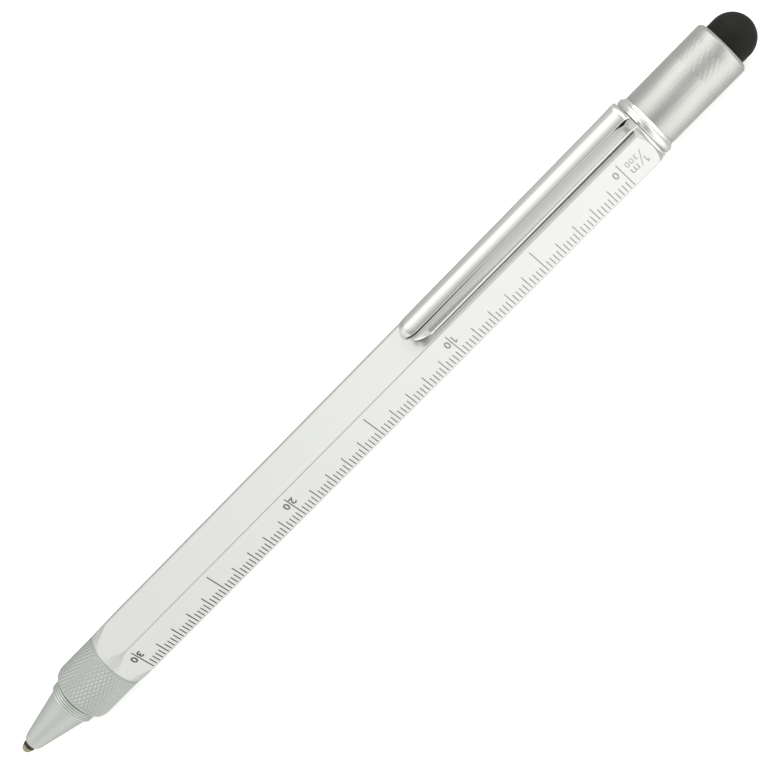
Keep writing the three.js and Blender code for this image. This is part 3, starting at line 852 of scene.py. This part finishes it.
class PEN_OT_hidden_print(bpy.types.Operator):
    """Print the centimetre and the inch scales on the two lower faces"""

    bl_idname = "pen.hidden_print"
    bl_label = "Centimetre and inch scales"

    def execute(self, context):
        inch = 25.4 * MM
        self.ruler(context, CENTIMETRE_FACE, "centimetre_scale", MM, wholes=10, parts=10, unit="cm")
        self.ruler(context, INCH_FACE, "inch_scale", inch / 16, wholes=4, parts=16, unit="in")
        return {"FINISHED"}

    def ruler(self, context, face, name, spacing, wholes, parts, unit):
        """Prints a scale of whole units, each divided into parts."""
        ink = context.scene.pen_print
        matrix = face_frame(face, BARREL_HIGH.x - ink.zero)
        shortening, unit_place = 0.25, -2.6 * MM
        row = up_face(0.78)
        bm = bmesh.new()
        add_ticks(bm, ink, matrix, wholes * parts, spacing, parts // 2, parts, ink.long_share - shortening)
        figures = [(str(mark), mark * parts * spacing) for mark in range(wholes + 1)]
        for words, place in figures + [(unit, unit_place)]:
            add_words(bm, words, ink.digit, matrix @ Matrix.Translation((place, row, 0)), ink.film)
        print_piece(name, bm)


class PEN_OT_grip(bpy.types.Operator):
    """Build the knurled grip"""

    bl_idname = "pen.grip"
    bl_label = "Grip"

    def execute(self, context):
        body = context.scene.pen_body
        model_front, model_rear = span("grip_section")
        radius = radius_of("grip_section")
        shoulder_radius = 4.72 * MM
        bore = 2.72 * MM
        seat = radius_of("drive_tube") + 0.05 * MM
        seat_front = span("drive_tube")[0] - 0.02 * MM
        front = model_front + body.nose_seam
        closing = 0.11 * MM
        rear = model_rear + closing + body.grip_seam
        knurl_front = model_front + 0.95 * MM
        knurl_rear = rear - 0.1 * MM
        swell_end = front + 1.6 * MM
        line = softened([(front, bore), *profile(front, (0, 3.89, 0.15), (0.35, 4.35, 0.3)),
                         (knurl_front, shoulder_radius)])[:-1]
        for place in rings(knurl_front, knurl_rear, body.knurl_pitch / 8):
            left = max(0, (swell_end - place) / (swell_end - knurl_front))
            line.append((place, min(radius, shoulder_radius + (radius - shoulder_radius) * (1 - left ** 2))))
        line += [(rear, radius - 0.12 * MM), (rear, seat), (seat_front, seat), (seat_front, bore)]
        bm = turned(line, body.knurl_starts * 8)
        knurl(bm, knurl_front, knurl_rear + MERGE, least=4.6 * MM, starts=body.knurl_starts,
              pitch=body.knurl_pitch, depth=body.knurl_depth, fade=0.12 * MM)
        piece("grip_knurled", bm, "satin_silver", "grip", "grip_section", angle=math.radians(50))
        return {"FINISHED"}


class PEN_OT_nose(bpy.types.Operator):
    """Build the nose cone with its grooved rim and its thread"""

    bl_idname = "pen.nose"
    bl_label = "Nose cone"

    ridges = 4
    ridge_steps = 8

    def execute(self, context):
        front, end = span("nose_cone")
        rear = front + 10.65 * MM
        seam = rear + context.scene.pen_body.nose_seam
        throat = 1.12 * MM
        inner = 1.575 * MM
        rim = 3.92 * MM
        rim_root = 3.42 * MM
        ridge = 0.4 * MM
        band_front = seam - self.ridges * ridge - 0.05 * MM
        seal = 3.1 * MM
        spigot = 2.6 * MM
        undercut = spigot - 0.4 * MM
        thread_front = rear + 0.7 * MM
        thread_rear = end - 0.3 * MM
        outer = [(front, throat), *profile(front, (0, 1.2, 0.05), (0.25, 1.42, 0.15), (0.79, 1.63, 0.3)),
                 (band_front - 0.2 * MM, rim_root, 0.15 * MM)]
        seat = [(seam, rim - 0.14 * MM), (seam, seal), (rear + 0.1 * MM, seal),
                (rear + 0.1 * MM, undercut), (rear + 0.6 * MM, undercut)]
        threaded = [(place, spigot) for place in rings(thread_front, thread_rear, 0.1 * MM)]
        inside = [(end, spigot - 0.2 * MM), (end, inner), (front + 1.7 * MM, inner),
                  (front + 1.3 * MM, throat)]
        band = self.band(band_front, rim, ridge)
        bm = turned(softened(outer + band + seat) + threaded + inside)
        thread(bm, thread_front, thread_rear, spigot, pitch=0.8 * MM, depth=0.22 * MM)
        piece("nose_turned", bm, "satin_silver", "nose", "nose_cone", angle=math.radians(40))
        return {"FINISHED"}

    def band(self, front, radius, ridge):
        """The outline of the grooved rim, whose ridges grow towards the grip."""
        groove = 0.26 * MM
        growth = 0.1 * MM
        steps = self.ridges * self.ridge_steps
        points = []
        for step in range(steps + 1):
            swell = math.sin(math.pi * (step % self.ridge_steps) / self.ridge_steps) ** 0.6
            lean = growth * (1 - step / steps)
            points.append((front + step * ridge / self.ridge_steps, radius - lean - groove * (1 - swell)))
        return points


class PEN_OT_point(bpy.types.Operator):
    """Build the writing point: the ball, its nickel cone and the black holder"""

    bl_idname = "pen.point"
    bl_label = "Writing point"

    def execute(self, context):
        radius = half_height_of("refill_ball")
        middle = middle_of("refill_ball").x
        steps = 16
        turns = [math.pi * step / steps for step in range(1, steps)]
        ball = [(middle - radius * math.cos(turn), radius * math.sin(turn)) for turn in turns]
        ball = [(middle - radius, 0), *ball, (middle + radius, 0)]
        piece("point_ball", turned(ball, steps=32), "steel", "refill", "refill_ball")
        front, rear = span("refill_point")
        holder_front, holder_rear = span("refill_tip_holder")
        cone = radius_of("refill_point")
        socket = radius + 0.05 * MM
        socket_end = middle + socket
        shank = 0.72 * MM
        sleeve_front = holder_front + 0.08 * MM
        cone_rear = sleeve_front - 0.02 * MM
        point = softened([
            (socket_end, 0), (socket_end, socket), (front, socket),
            *profile(front, (0, 0.44, 0.03), (0.22, 0.70, 0.2)), (front + 0.8 * MM, cone, 0.3 * MM),
            (cone_rear, cone), (cone_rear, shank), (rear, shank), (rear, 0)])
        piece("point_cone", turned(point, steps=64), "nickel", "refill", "refill_point")
        outer = radius_of("refill_tip_holder")
        bore = shank + 0.05 * MM
        holder = softened([
            (sleeve_front, bore), (sleeve_front, outer, 0.06 * MM), (holder_rear, outer, 0.12 * MM),
            (holder_rear, bore)])
        piece("point_holder", turned(holder, steps=64), "black_plastic", "refill", "refill_tip_holder")
        return {"FINISHED"}


class PEN_OT_clip(bpy.types.Operator):
    """Build the folded pocket clip and its ring"""

    bl_idname = "pen.clip"
    bl_label = "Clip"

    def execute(self, context):
        clip = context.scene.pen_clip
        bm = self.crown(clip)
        self.skirt(bm, clip)
        bmesh.ops.recalc_face_normals(bm, faces=bm.faces)
        tilt = -math.asin((clip.lip_rise - clip.tip_rise) / clip.reach)
        hinge = Matrix.Translation((span("clip_ring")[1], 0, BARREL_HIGH.z + clip.lip_rise))
        bmesh.ops.transform(bm, matrix=hinge @ Matrix.Rotation(tilt, 4, "Y"), verts=bm.verts)
        piece("clip_folded", bm, "chrome", "clip", "clip_arm", angle=math.radians(40))
        self.ring()
        return {"FINISHED"}

    def ring(self):
        """The flat ring, with a web that reaches up into the clip."""
        front, rear = span("clip_ring")
        radius = radius_of("clip_ring")
        bore = 2.8 * MM
        web = 1.3 * MM
        bm = turned(tube(front, rear, bore, radius, 0.12 * MM))
        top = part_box("clip_ring")[1].z
        box(bm, (front, -web, AXIS_HEIGHT + (bore + radius) / 2), (rear, web, top))
        piece("clip_ring_turned", bm, "chrome", "barrel", "clip_ring")

    def station(self, run, clip):
        """The place from the tip of a share of the grid's length, closer together at both ends."""
        near, far = 5 * MM, 2 * MM
        near_share, far_share = 0.35, 0.85
        crowding = 1.4
        if run < near_share:
            return near * (run / near_share) ** crowding
        if run > far_share:
            return clip.reach - far * ((1 - run) / (1 - far_share)) ** crowding
        return near + (clip.reach - near - far) * (run - near_share) / (far_share - near_share)

    def half_width(self, place, clip):
        """Half the crown's width: it narrows to the tip and widens a little at the rear end."""
        rear_length, rear_widening = 1.6 * MM, 0.2 * MM
        taper = max(0, 1 - place / clip.tip_taper)
        rear = max(0, 1 - (clip.reach - place) / rear_length)
        return clip.crown_half - clip.tip_narrow * taper ** 2 + rear_widening * rear ** 2

    def fall(self, place, clip):
        """How far the crown has come down towards the tip and over its rear end."""
        rear_round, steepest = 0.9 * MM, 0.92
        near = steepest * max(0, 1 - max(place, 0) / clip.tip_slope)
        rear = max(0, 1 - (clip.reach - place) / rear_round)
        return (clip.tip_fall * (1 - math.sqrt(1 - near ** 2))
                + rear_round * (1 - math.sqrt(1 - rear ** 2)))

    def crown(self, clip):
        """A grid bent to the clip's upper side, with a tip that is rounded seen from above."""
        tip_round = 0.15 * MM
        bm = bmesh.new()
        bmesh.ops.create_grid(bm, x_segments=100, y_segments=32, size=0.5)
        for vert in bm.verts:
            place = self.station(vert.co.x + 0.5, clip)
            half = self.half_width(place, clip)
            across = vert.co.y * 2
            rounding = tip_round * across ** 2 * max(0, 1 - place / MM)
            low = clip.crease - self.fall(place, clip)
            vert.co = (place + rounding - clip.reach, across * half, low + self.dome(across, clip))
        return bm

    def dome(self, across, clip):
        """The crown's height above its borders: a tight curve on top between two flatter slopes."""
        top_radius, slope_radius = 2.0 * MM, 3.0 * MM
        turn = math.radians(16)
        split = top_radius * math.sin(turn)
        place = abs(across) * clip.crown_half
        end = math.asin((clip.crown_half - split) / slope_radius + math.sin(turn))
        if place <= split:
            return slope_radius * (math.cos(turn) - math.cos(end)) + top_radius * (
                math.cos(math.asin(place / top_radius)) - math.cos(turn))
        lean = math.asin((place - split) / slope_radius + math.sin(turn))
        return slope_radius * (math.cos(lean) - math.cos(end))

    def opening(self, place, clip):
        """How wide the groove between crown and flank stands open, which is most at the ring and the tip."""
        least, at_tip, at_ring = 0.03 * MM, 0.11 * MM, 0.24 * MM
        tip_length, ring_length, ring_place = 16 * MM, 0.75 * MM, -1.35 * MM
        from_tip = place.x + clip.reach
        side = min(1, abs(place.y) / self.half_width(max(0, from_tip), clip)) ** 8
        near_tip = max(0, 1 - from_tip / tip_length) ** 0.7
        near_ring = math.exp(-((place.x - ring_place) / ring_length) ** 2)
        return least + side * (at_tip * near_tip + at_ring * near_ring)

    def fold_path(self, clip):
        """The steps of the skirt down from the crown's border.

        Each holds its way outwards and down, the shares of the groove's opening that it goes outwards and
        down, the share of the skirt's depth that it goes down, and how much painted shade it carries.
        """
        lip = clip.lip_half - clip.crown_half
        sunk = 1.6
        # Painted shade: full in the slit, where shade falls, and a painted darker reflection on the flank
        black, flank_reflection_shade = 1.0, 0.25
        groove = ((0.02, 0.03, 0, 0, 0, 0), (0.02, 0.07, 0, 0, 0, 0), (0, 0.1, 0, 0.3, 0, 0),
                  (-0.02, 0.12, 0, 0.5, 0, black), (-0.02, 0.2, 0, sunk, 0, black),
                  (0.0, 0.24, 1, sunk, 0, black), (0.01, 0.12, 1, sunk, 0, black),
                  (0.02, 0.06, 1, sunk, 0, flank_reflection_shade))
        path = [(out * MM, down * MM, *shares) for out, down, *shares in groove]
        ledge = 0.2 * MM
        top = 0.06 * MM
        flank_steps = 8
        for step in range(1, flank_steps + 1):
            done = step / flank_steps
            flare = 0.3 * done + 0.6 * done ** 3
            path.append((0.03 * MM + (lip - ledge) * flare, top, 1 - done, sunk, 0.955 * done, flank_reflection_shade))
        for out, depth_share in (
                (lip - ledge, 0.957), (lip - 0.03 * MM, 0.962), (lip, 0.975), (lip - 0.03 * MM, 0.995),
                (lip - 0.12 * MM, 1.0), (0.6 * lip - clip.sheet, 1.0)):
            path.append((out, top, 0, sunk, depth_share, 0))
        return path + [(-clip.sheet, 0.75 * MM, 0, 0, 0, 0)]

    def skirt(self, bm, clip):
        """Folds the crown's border down: a slit, the flank with its turned-out lip and the inside; paints
        shade into the slit and near the tip and a darker reflection onto the flank.
        """
        fold = bm.verts.layers.float.new("fold")
        least_flare, full_depth = 0.05 * MM, 1.2 * MM
        # Painted shade along the diagonal cut near the tip, faded out over the tip's last part
        tip_shade, tip_fade = 0.2, 0.4 * MM
        loop = [edge for edge in bm.edges if edge.is_boundary]
        roots = {vert: vert.co.copy() for edge in loop for vert in edge.verts}
        outward = {vert: self.outward(vert.co, clip) for vert in roots}
        origin = {vert: vert for vert in roots}
        for out, down, open_share, sunk_share, down_share, dark in self.fold_path(clip):
            made = bmesh.ops.extrude_edge_only(bm, edges=loop)["geom"]
            fresh = {item for item in made if isinstance(item, bmesh.types.BMVert)}
            loop = [item for item in made if isinstance(item, bmesh.types.BMEdge)
                    and set(item.verts) <= fresh]
            for vert in fresh:
                old = next(edge.other_vert(vert) for edge in vert.link_edges
                           if edge.other_vert(vert) not in fresh)
                origin[vert] = origin[old]
            for vert in fresh:
                start = roots[origin[vert]]
                gap = self.opening(start, clip)
                fallen = down + sunk_share * gap
                depth = self.depth(start, clip) - fallen
                spread = out * min(1, abs(depth) / full_depth) if out > least_flare else out
                side = outward[origin[vert]] * (spread + open_share * gap)
                from_tip = max(0, start.x + clip.reach)
                # Painted shade in the slit and near the tip, and a painted darker reflection on the flank
                vert[fold] = max(dark, tip_shade * (from_tip < clip.cut)) * min(1, from_tip / tip_fade)
                vert.co = start + Vector((side.x, side.y, -fallen - depth * down_share))
        bmesh.ops.triangle_fill(bm, edges=loop, use_beauty=True)

    def outward(self, place, clip):
        """The level direction out of the crown at a point of its border."""
        from_tip = place.x + clip.reach
        side = place.y / self.half_width(max(0, from_tip), clip)
        nearly_all, corner = 0.999, 0.16 * MM
        flank = abs(side) > nearly_all
        if place.x > -MERGE:
            return Vector((0, math.copysign(1, side))) if flank else Vector((0, 0))
        if flank and from_tip > corner:
            slope = 2 * clip.tip_narrow / clip.tip_taper * max(0, 1 - from_tip / clip.tip_taper)
            return Vector((-slope, math.copysign(1, side))).normalized()
        return Vector((-1, 0.9 * side ** 3)).normalized()

    def depth(self, place, clip):
        """How far the skirt reaches down from a point of the crown's border."""
        from_tip = place.x + clip.reach
        least = 0.55 * MM
        meet = 0.6 * MM
        if from_tip >= clip.cut:
            return place.z
        if from_tip <= meet:
            return least
        meet_low = clip.crease - self.fall(meet, clip) - least
        return place.z - meet_low * (clip.cut - from_tip) / (clip.cut - meet)


class PEN_OT_cap(bpy.types.Operator):
    """Build the collar, the cap with its knurled band and the washer in its mouth"""

    bl_idname = "pen.cap"
    bl_label = "Cap and collar"

    def execute(self, context):
        self.collar()
        self.shell(context.scene.pen_body)
        bm = turned(tube(*span("cap_washer"), 2.87 * MM, radius_of("cap_washer"), 0.05 * MM), steps=96)
        piece("washer_flat", bm, "white_plastic", "cap", "cap_washer")
        return {"FINISHED"}

    def collar(self):
        front, rear = span("cap_collar")
        radius = radius_of("cap_collar")
        cap = radius_of("cap_shell")
        inner = 4.0 * MM
        bead = front + 1.03 * MM
        outline = softened([
            (front, inner), (front, radius, 0.45 * MM), (bead, radius, 0.35 * MM),
            (bead + 0.12 * MM, cap + 0.18 * MM, 0.08 * MM), (rear, cap), (rear, inner)], 8)
        piece("collar_turned", turned(outline, steps=192), "chrome", "cap", "cap_collar")

    def shell(self, body):
        front, rear = span("cap_shell")
        radius = radius_of("cap_shell")
        shoulder = span("cap_collar")[1] + 0.02 * MM
        mouth = 3.4 * MM
        spigot = 3.95 * MM
        bore = 3.0 * MM
        hole = 1.33 * MM
        insert_rear = span("cap_thread_insert")[1] + 0.02 * MM
        chamfer = 0.45 * MM
        end_wall = rear - 1.75 * MM
        knurl_rear = rear - body.cap_knurl_setback
        knurl_front = knurl_rear - body.cap_knurl_length
        band = [(place, radius) for place in rings(knurl_front, knurl_rear, body.cap_knurl_pitch / 8)]
        first = softened([
            (front, mouth), (front, spigot), (shoulder, spigot), (shoulder, radius, 0.08 * MM), band[0]])
        last = softened([
            band[-1], (rear - chamfer, radius, 0.06 * MM), (rear, radius - chamfer, 0.06 * MM),
            (rear, hole), (end_wall, hole), (end_wall, bore), (insert_rear, bore), (insert_rear, mouth)])
        bm = turned(first[:-1] + band + last[1:], body.cap_knurl_starts * 8)
        knurl(bm, knurl_front, knurl_rear, least=radius - MERGE * 10, starts=body.cap_knurl_starts,
              pitch=body.cap_knurl_pitch, depth=body.cap_knurl_depth, fade=0.1 * MM)
        piece("cap_turned", bm, "satin_cap", "cap", "cap_shell", angle=math.radians(40))


class PEN_OT_stylus(bpy.types.Operator):
    """Build the soft stylus dome"""

    bl_idname = "pen.stylus"
    bl_label = "Stylus dome"

    def execute(self, context):
        front, rear = span("stylus_dome")
        radius = radius_of("stylus_dome")
        skirt = front + 1.5 * MM
        base = front + 0.9 * MM
        wall = 0.8 * MM
        hole = 1.33 * MM
        hollow = arc(skirt, rear - wall, radius - wall)[::-1] + [(base, radius - wall)]
        outer = softened([(base, hole), (front, hole), (front, radius, 0.15 * MM), (skirt, radius)])[:-1]
        bm = turned(hollow + outer + arc(skirt, rear, radius), steps=96)
        piece("stylus_soft_dome", bm, "stylus_rubber", "cap", "stylus_dome")
        return {"FINISHED"}


class PEN_OT_driver(bpy.types.Operator):
    """Build the threaded bit holder and the double-ended bit"""

    bl_idname = "pen.driver"
    bl_label = "Bit and holder"

    def execute(self, context):
        flats = 2 * half_height_of("driver_bit")
        self.holder(flats)
        self.bit(flats)
        return {"FINISHED"}

    def holder(self, flats):
        front, rear = span("bit_holder")
        body = radius_of("bit_holder")
        bit_front = span("driver_bit")[0]
        neck = 2.75 * MM
        thread_root = neck - 0.2 * MM
        shoulder = BARREL_HIGH.x
        thread_front = shoulder + 0.5 * MM
        thread_rear = rear - 0.25 * MM
        clear, seat = 0.05 * MM, 0.02 * MM
        outline = [(front, 0), (front, body), (shoulder, body), (shoulder, thread_root),
                   (thread_front - 0.05 * MM, thread_root)]
        outline += [(place, neck) for place in rings(thread_front, thread_rear, 0.0875 * MM)]
        outline += [(rear, neck - 0.25 * MM), (rear, 0)]
        bm = turned(outline, steps=96)
        thread(bm, thread_front, thread_rear, neck, pitch=0.7 * MM, depth=0.2 * MM)
        holder = to_object(bm, "bit_holder_threaded")
        carve(holder, hex_rod(flats + 2 * clear, bit_front - seat, rear + 0.5 * MM, 0.05 * MM, steps=1))
        magnet_front = span("holder_magnet")[0] - seat
        carve(holder, turned(tube(magnet_front, bit_front, 0, radius_of("holder_magnet") + clear), steps=48))
        tidy_mesh(holder)
        dress(holder, "steel", "barrel", "bit_holder")

    def bit(self, flats):
        """A hexagonal shaft with a flat blade at its front and a cross at its rear."""
        front, rear = span("driver_bit")
        hexagon = 12 * MM
        end = (rear - front - hexagon) / 2
        shaft = 1.6 * MM
        tip = 2.2 * MM
        side, wing, blade, web, wide = 2 * MM, 2.5 * MM, 0.3 * MM, 0.28 * MM, 3 * MM
        bit = to_object(hex_rod(flats, front + end, rear - end, 0.12 * MM, steps=3), "bit_double_ended")
        rod = softened([
            (front, 0), (front, 1.45 * MM, 0.1 * MM), (front + end, shaft), (rear - end, shaft),
            (rear - tip, shaft, 0.3 * MM), (rear, 0.5 * MM, 0.08 * MM), (rear, 0)])
        carve(bit, turned(rod, steps=64), "UNION")
        for low, high in ((-wing, -blade), (blade, wing)):
            bm = bmesh.new()
            box(bm, (front - MM, -side, AXIS_HEIGHT + low), (front + tip, side, AXIS_HEIGHT + high))
            carve(bit, bm)
        for quarter in range(4):
            bm = bmesh.new()
            turn = Matrix.Translation((0, 0, AXIS_HEIGHT)) @ Matrix.Rotation(quarter * math.pi / 2, 4, "X")
            lean = Matrix.Translation((0, 0, web)) @ Matrix.Rotation(math.pi / 4, 4, "X")
            box(bm, (rear - tip, 0, 0), (rear + MM, wide, wide), turn @ lean)
            carve(bit, bm)
        tidy_mesh(bit)
        dress(bit, "tool_steel", "barrel", "driver_bit", angle=math.radians(25))


class PEN_OT_inner_works(bpy.types.Operator):
    """Give the model's own parts that show as they are their materials"""

    bl_idname = "pen.inner_works"
    bl_label = "Refill, mechanism and seals"

    parts = {
        "brass": ("refill_tube", "refill_carrier", "drive_tube", "front_bush", "guide_tube",
                  "cap_thread_insert"),
        "steel": ("follower_pin", "retaining_ring", "stylus_post", "holder_magnet"),
        "stylus_rubber": ("nose_seal_ring", "cap_seal_ring"),
        "white_plastic": ("level_cradle",),
        "refill_ink": ("refill_ink",),
    }

    def execute(self, context):
        for slot, nodes in self.parts.items():
            for node in nodes:
                paint(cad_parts[node], slot)
        return {"FINISHED"}


class PEN_OT_stage(bpy.types.Operator):
    """Set the floor, the studio light and the camera"""

    bl_idname = "pen.stage"
    bl_label = "Studio"

    # Brightness of the room by degrees about the pen's axis, from behind the pen upwards and over
    glow = ((-63, 0.46), (8, 0.48), (34, 0.58), (46, 0.82), (56, 1.08), (68, 1.15), (86, 1.08),
            (100, 0.84), (114, 0.59), (128, 0.41), (146, 0.64), (170, 1.1), (200, 1.14), (222, 0.88),
            (246, 0.6), (297, 0.46))
    # Changes of the light along the pen: where each starts and ends in the direction's share, and its amount
    cap_lean = (-0.02, 0.12, math.radians(18))
    cap_gain = (-0.4, 0.0, 0.33)
    cap_glow = (0.25, 0.55, 0.9)
    point_evenness = (-0.3, -0.85, 0.75)
    cap_glow_heights = (0.3, 0.6)
    # Brightness of the striped room before the gain, and of the even light ahead of the point
    base_level, point_level = 0.86, 0.95
    # Name, place, width and height, and power of each panel of light
    panels = (("key_light", (0.45, 0.363, 0.718), (1.4, 0.68), 2.6),
              ("fill_light", (0.35, -0.79, 0.10), (1.4, 0.26), 1.2))

    def execute(self, context):
        studio = context.scene.pen_studio
        self.floor(studio)
        self.camera(context, studio)
        self.world(context)
        for panel in self.panels:
            self.panel(*panel)
        context.scene.view_settings.view_transform = "Standard"
        return {"FINISHED"}

    def floor(self, studio):
        half = studio.floor_size / 2
        below = -0.02 * MM
        bm = bmesh.new()
        bmesh.ops.create_grid(bm, x_segments=1, y_segments=1, size=half,
                              matrix=Matrix.Translation((0, studio.floor_edge - half, below)))
        floor = to_object(bm, "floor")
        finish = Finish("floor_paper", Roughness=0.7, Specular_IOR_Level=0.1)
        fibre = finish.noise(300, detail=3.0)
        floor.data.materials.append(finish.dress(
            Base_Color=finish.tones(studio.floor, spread=0.004, factor=fibre),
            Emission_Color=rgba(studio.floor), Emission_Strength=0.42))
        floor.visible_glossy = False

    def camera(self, context, studio):
        data = bpy.data.cameras.new("camera")
        data.lens = studio.lens
        data.sensor_width = 36
        data.clip_start = 0.01
        camera = new_object("camera", data)
        camera.location = studio.camera_place
        camera.rotation_euler = Euler(studio.camera_turn, "XYZ")
        context.scene.camera = camera

    def world(self, context):
        """Lights the room by the turn about the pen's axis, and evenly ahead of the writing point."""
        world = bpy.data.worlds.new("studio")
        context.scene.world = world
        shader = Shader(world)
        along, across, up = shader.axes(shader.node("ShaderNodeTexCoord", output="Generated"), "XYZ")

        def change(start, end, amount):
            return shader.ramp(along, start, end) * amount

        lowest = math.radians(self.glow[0][0])
        turn = shader.math("ARCTAN2", up, across) + change(*self.cap_lean)
        turn = shader.math("WRAP", turn, lowest + FULL_TURN, lowest)
        brightest = max(value for angle, value in self.glow)
        stops = [((angle - self.glow[0][0]) / 360, value / brightest) for angle, value in self.glow]
        glow = shader.node("ShaderNodeValToRGB", {"stops": stops}, {"Fac": (turn - lowest) / FULL_TURN},
                           output="Color")
        striped = glow * (change(*self.cap_gain) + self.base_level) * brightest
        even = change(*self.point_evenness)
        beyond_cap = change(*self.cap_glow) * shader.ramp(up, *self.cap_glow_heights)
        background = shader.tree.nodes["Background"].inputs
        shader.feed(background["Strength"], striped * (1 - even) + even * self.point_level + beyond_cap)
        shader.feed(background["Color"], (1.0, 1.0, 0.985, 1.0))

    def panel(self, name, place, size, power):
        """A panel of light that faces the pen's axis straight across."""
        data = bpy.data.lights.new(name, "AREA")
        data.shape = "RECTANGLE"
        data.size, data.size_y = size
        data.energy = power
        light = new_object(name, data)
        light.location = place
        light.visible_glossy = False
        aim = Vector((place[0], 0, AXIS_HEIGHT)) - Vector(place)
        light.rotation_euler = aim.to_track_quat("-Z", "Y").to_euler()


OPERATORS = (
    PEN_OT_stage, PEN_OT_finishes, PEN_OT_barrel, PEN_OT_print, PEN_OT_hidden_print, PEN_OT_level,
    PEN_OT_grip, PEN_OT_nose, PEN_OT_point, PEN_OT_clip, PEN_OT_cap, PEN_OT_stylus, PEN_OT_driver,
    PEN_OT_inner_works,
)
GROUPS = {
    "pen_body": PenBody,
    "pen_clip": PenClip,
    "pen_print": PenPrint,
    "pen_level": PenLevel,
    "pen_finishes": PenFinishes,
    "pen_studio": PenStudio,
}


class PEN_PT_panel(bpy.types.Panel):
    """Sizes, colours and steps of the pen"""

    bl_idname = "PEN_PT_panel"
    bl_label = "Multi tool pen"
    bl_space_type = "VIEW_3D"
    bl_region_type = "UI"
    bl_category = "Pen"

    def draw(self, context):
        for name, group in GROUPS.items():
            box_layout = self.layout.box()
            box_layout.label(text=group.__doc__)
            for prop in group.__annotations__:
                box_layout.prop(getattr(context.scene, name), prop)
        for operator in OPERATORS:
            self.layout.operator(operator.bl_idname)


CLASSES = (*GROUPS.values(), *OPERATORS, PEN_PT_panel)


def register():
    for item in CLASSES:
        bpy.utils.register_class(item)
    for name, group in GROUPS.items():
        setattr(bpy.types.Scene, name, bpy.props.PointerProperty(type=group))


def unregister():
    for name in GROUPS:
        delattr(bpy.types.Scene, name)
    for item in reversed(CLASSES):
        bpy.utils.unregister_class(item)


def main():
    register()
    for operator in OPERATORS:
        family, step = operator.bl_idname.split(".")
        getattr(getattr(bpy.ops, family), step)()


if __name__ == "__main__":
    main()
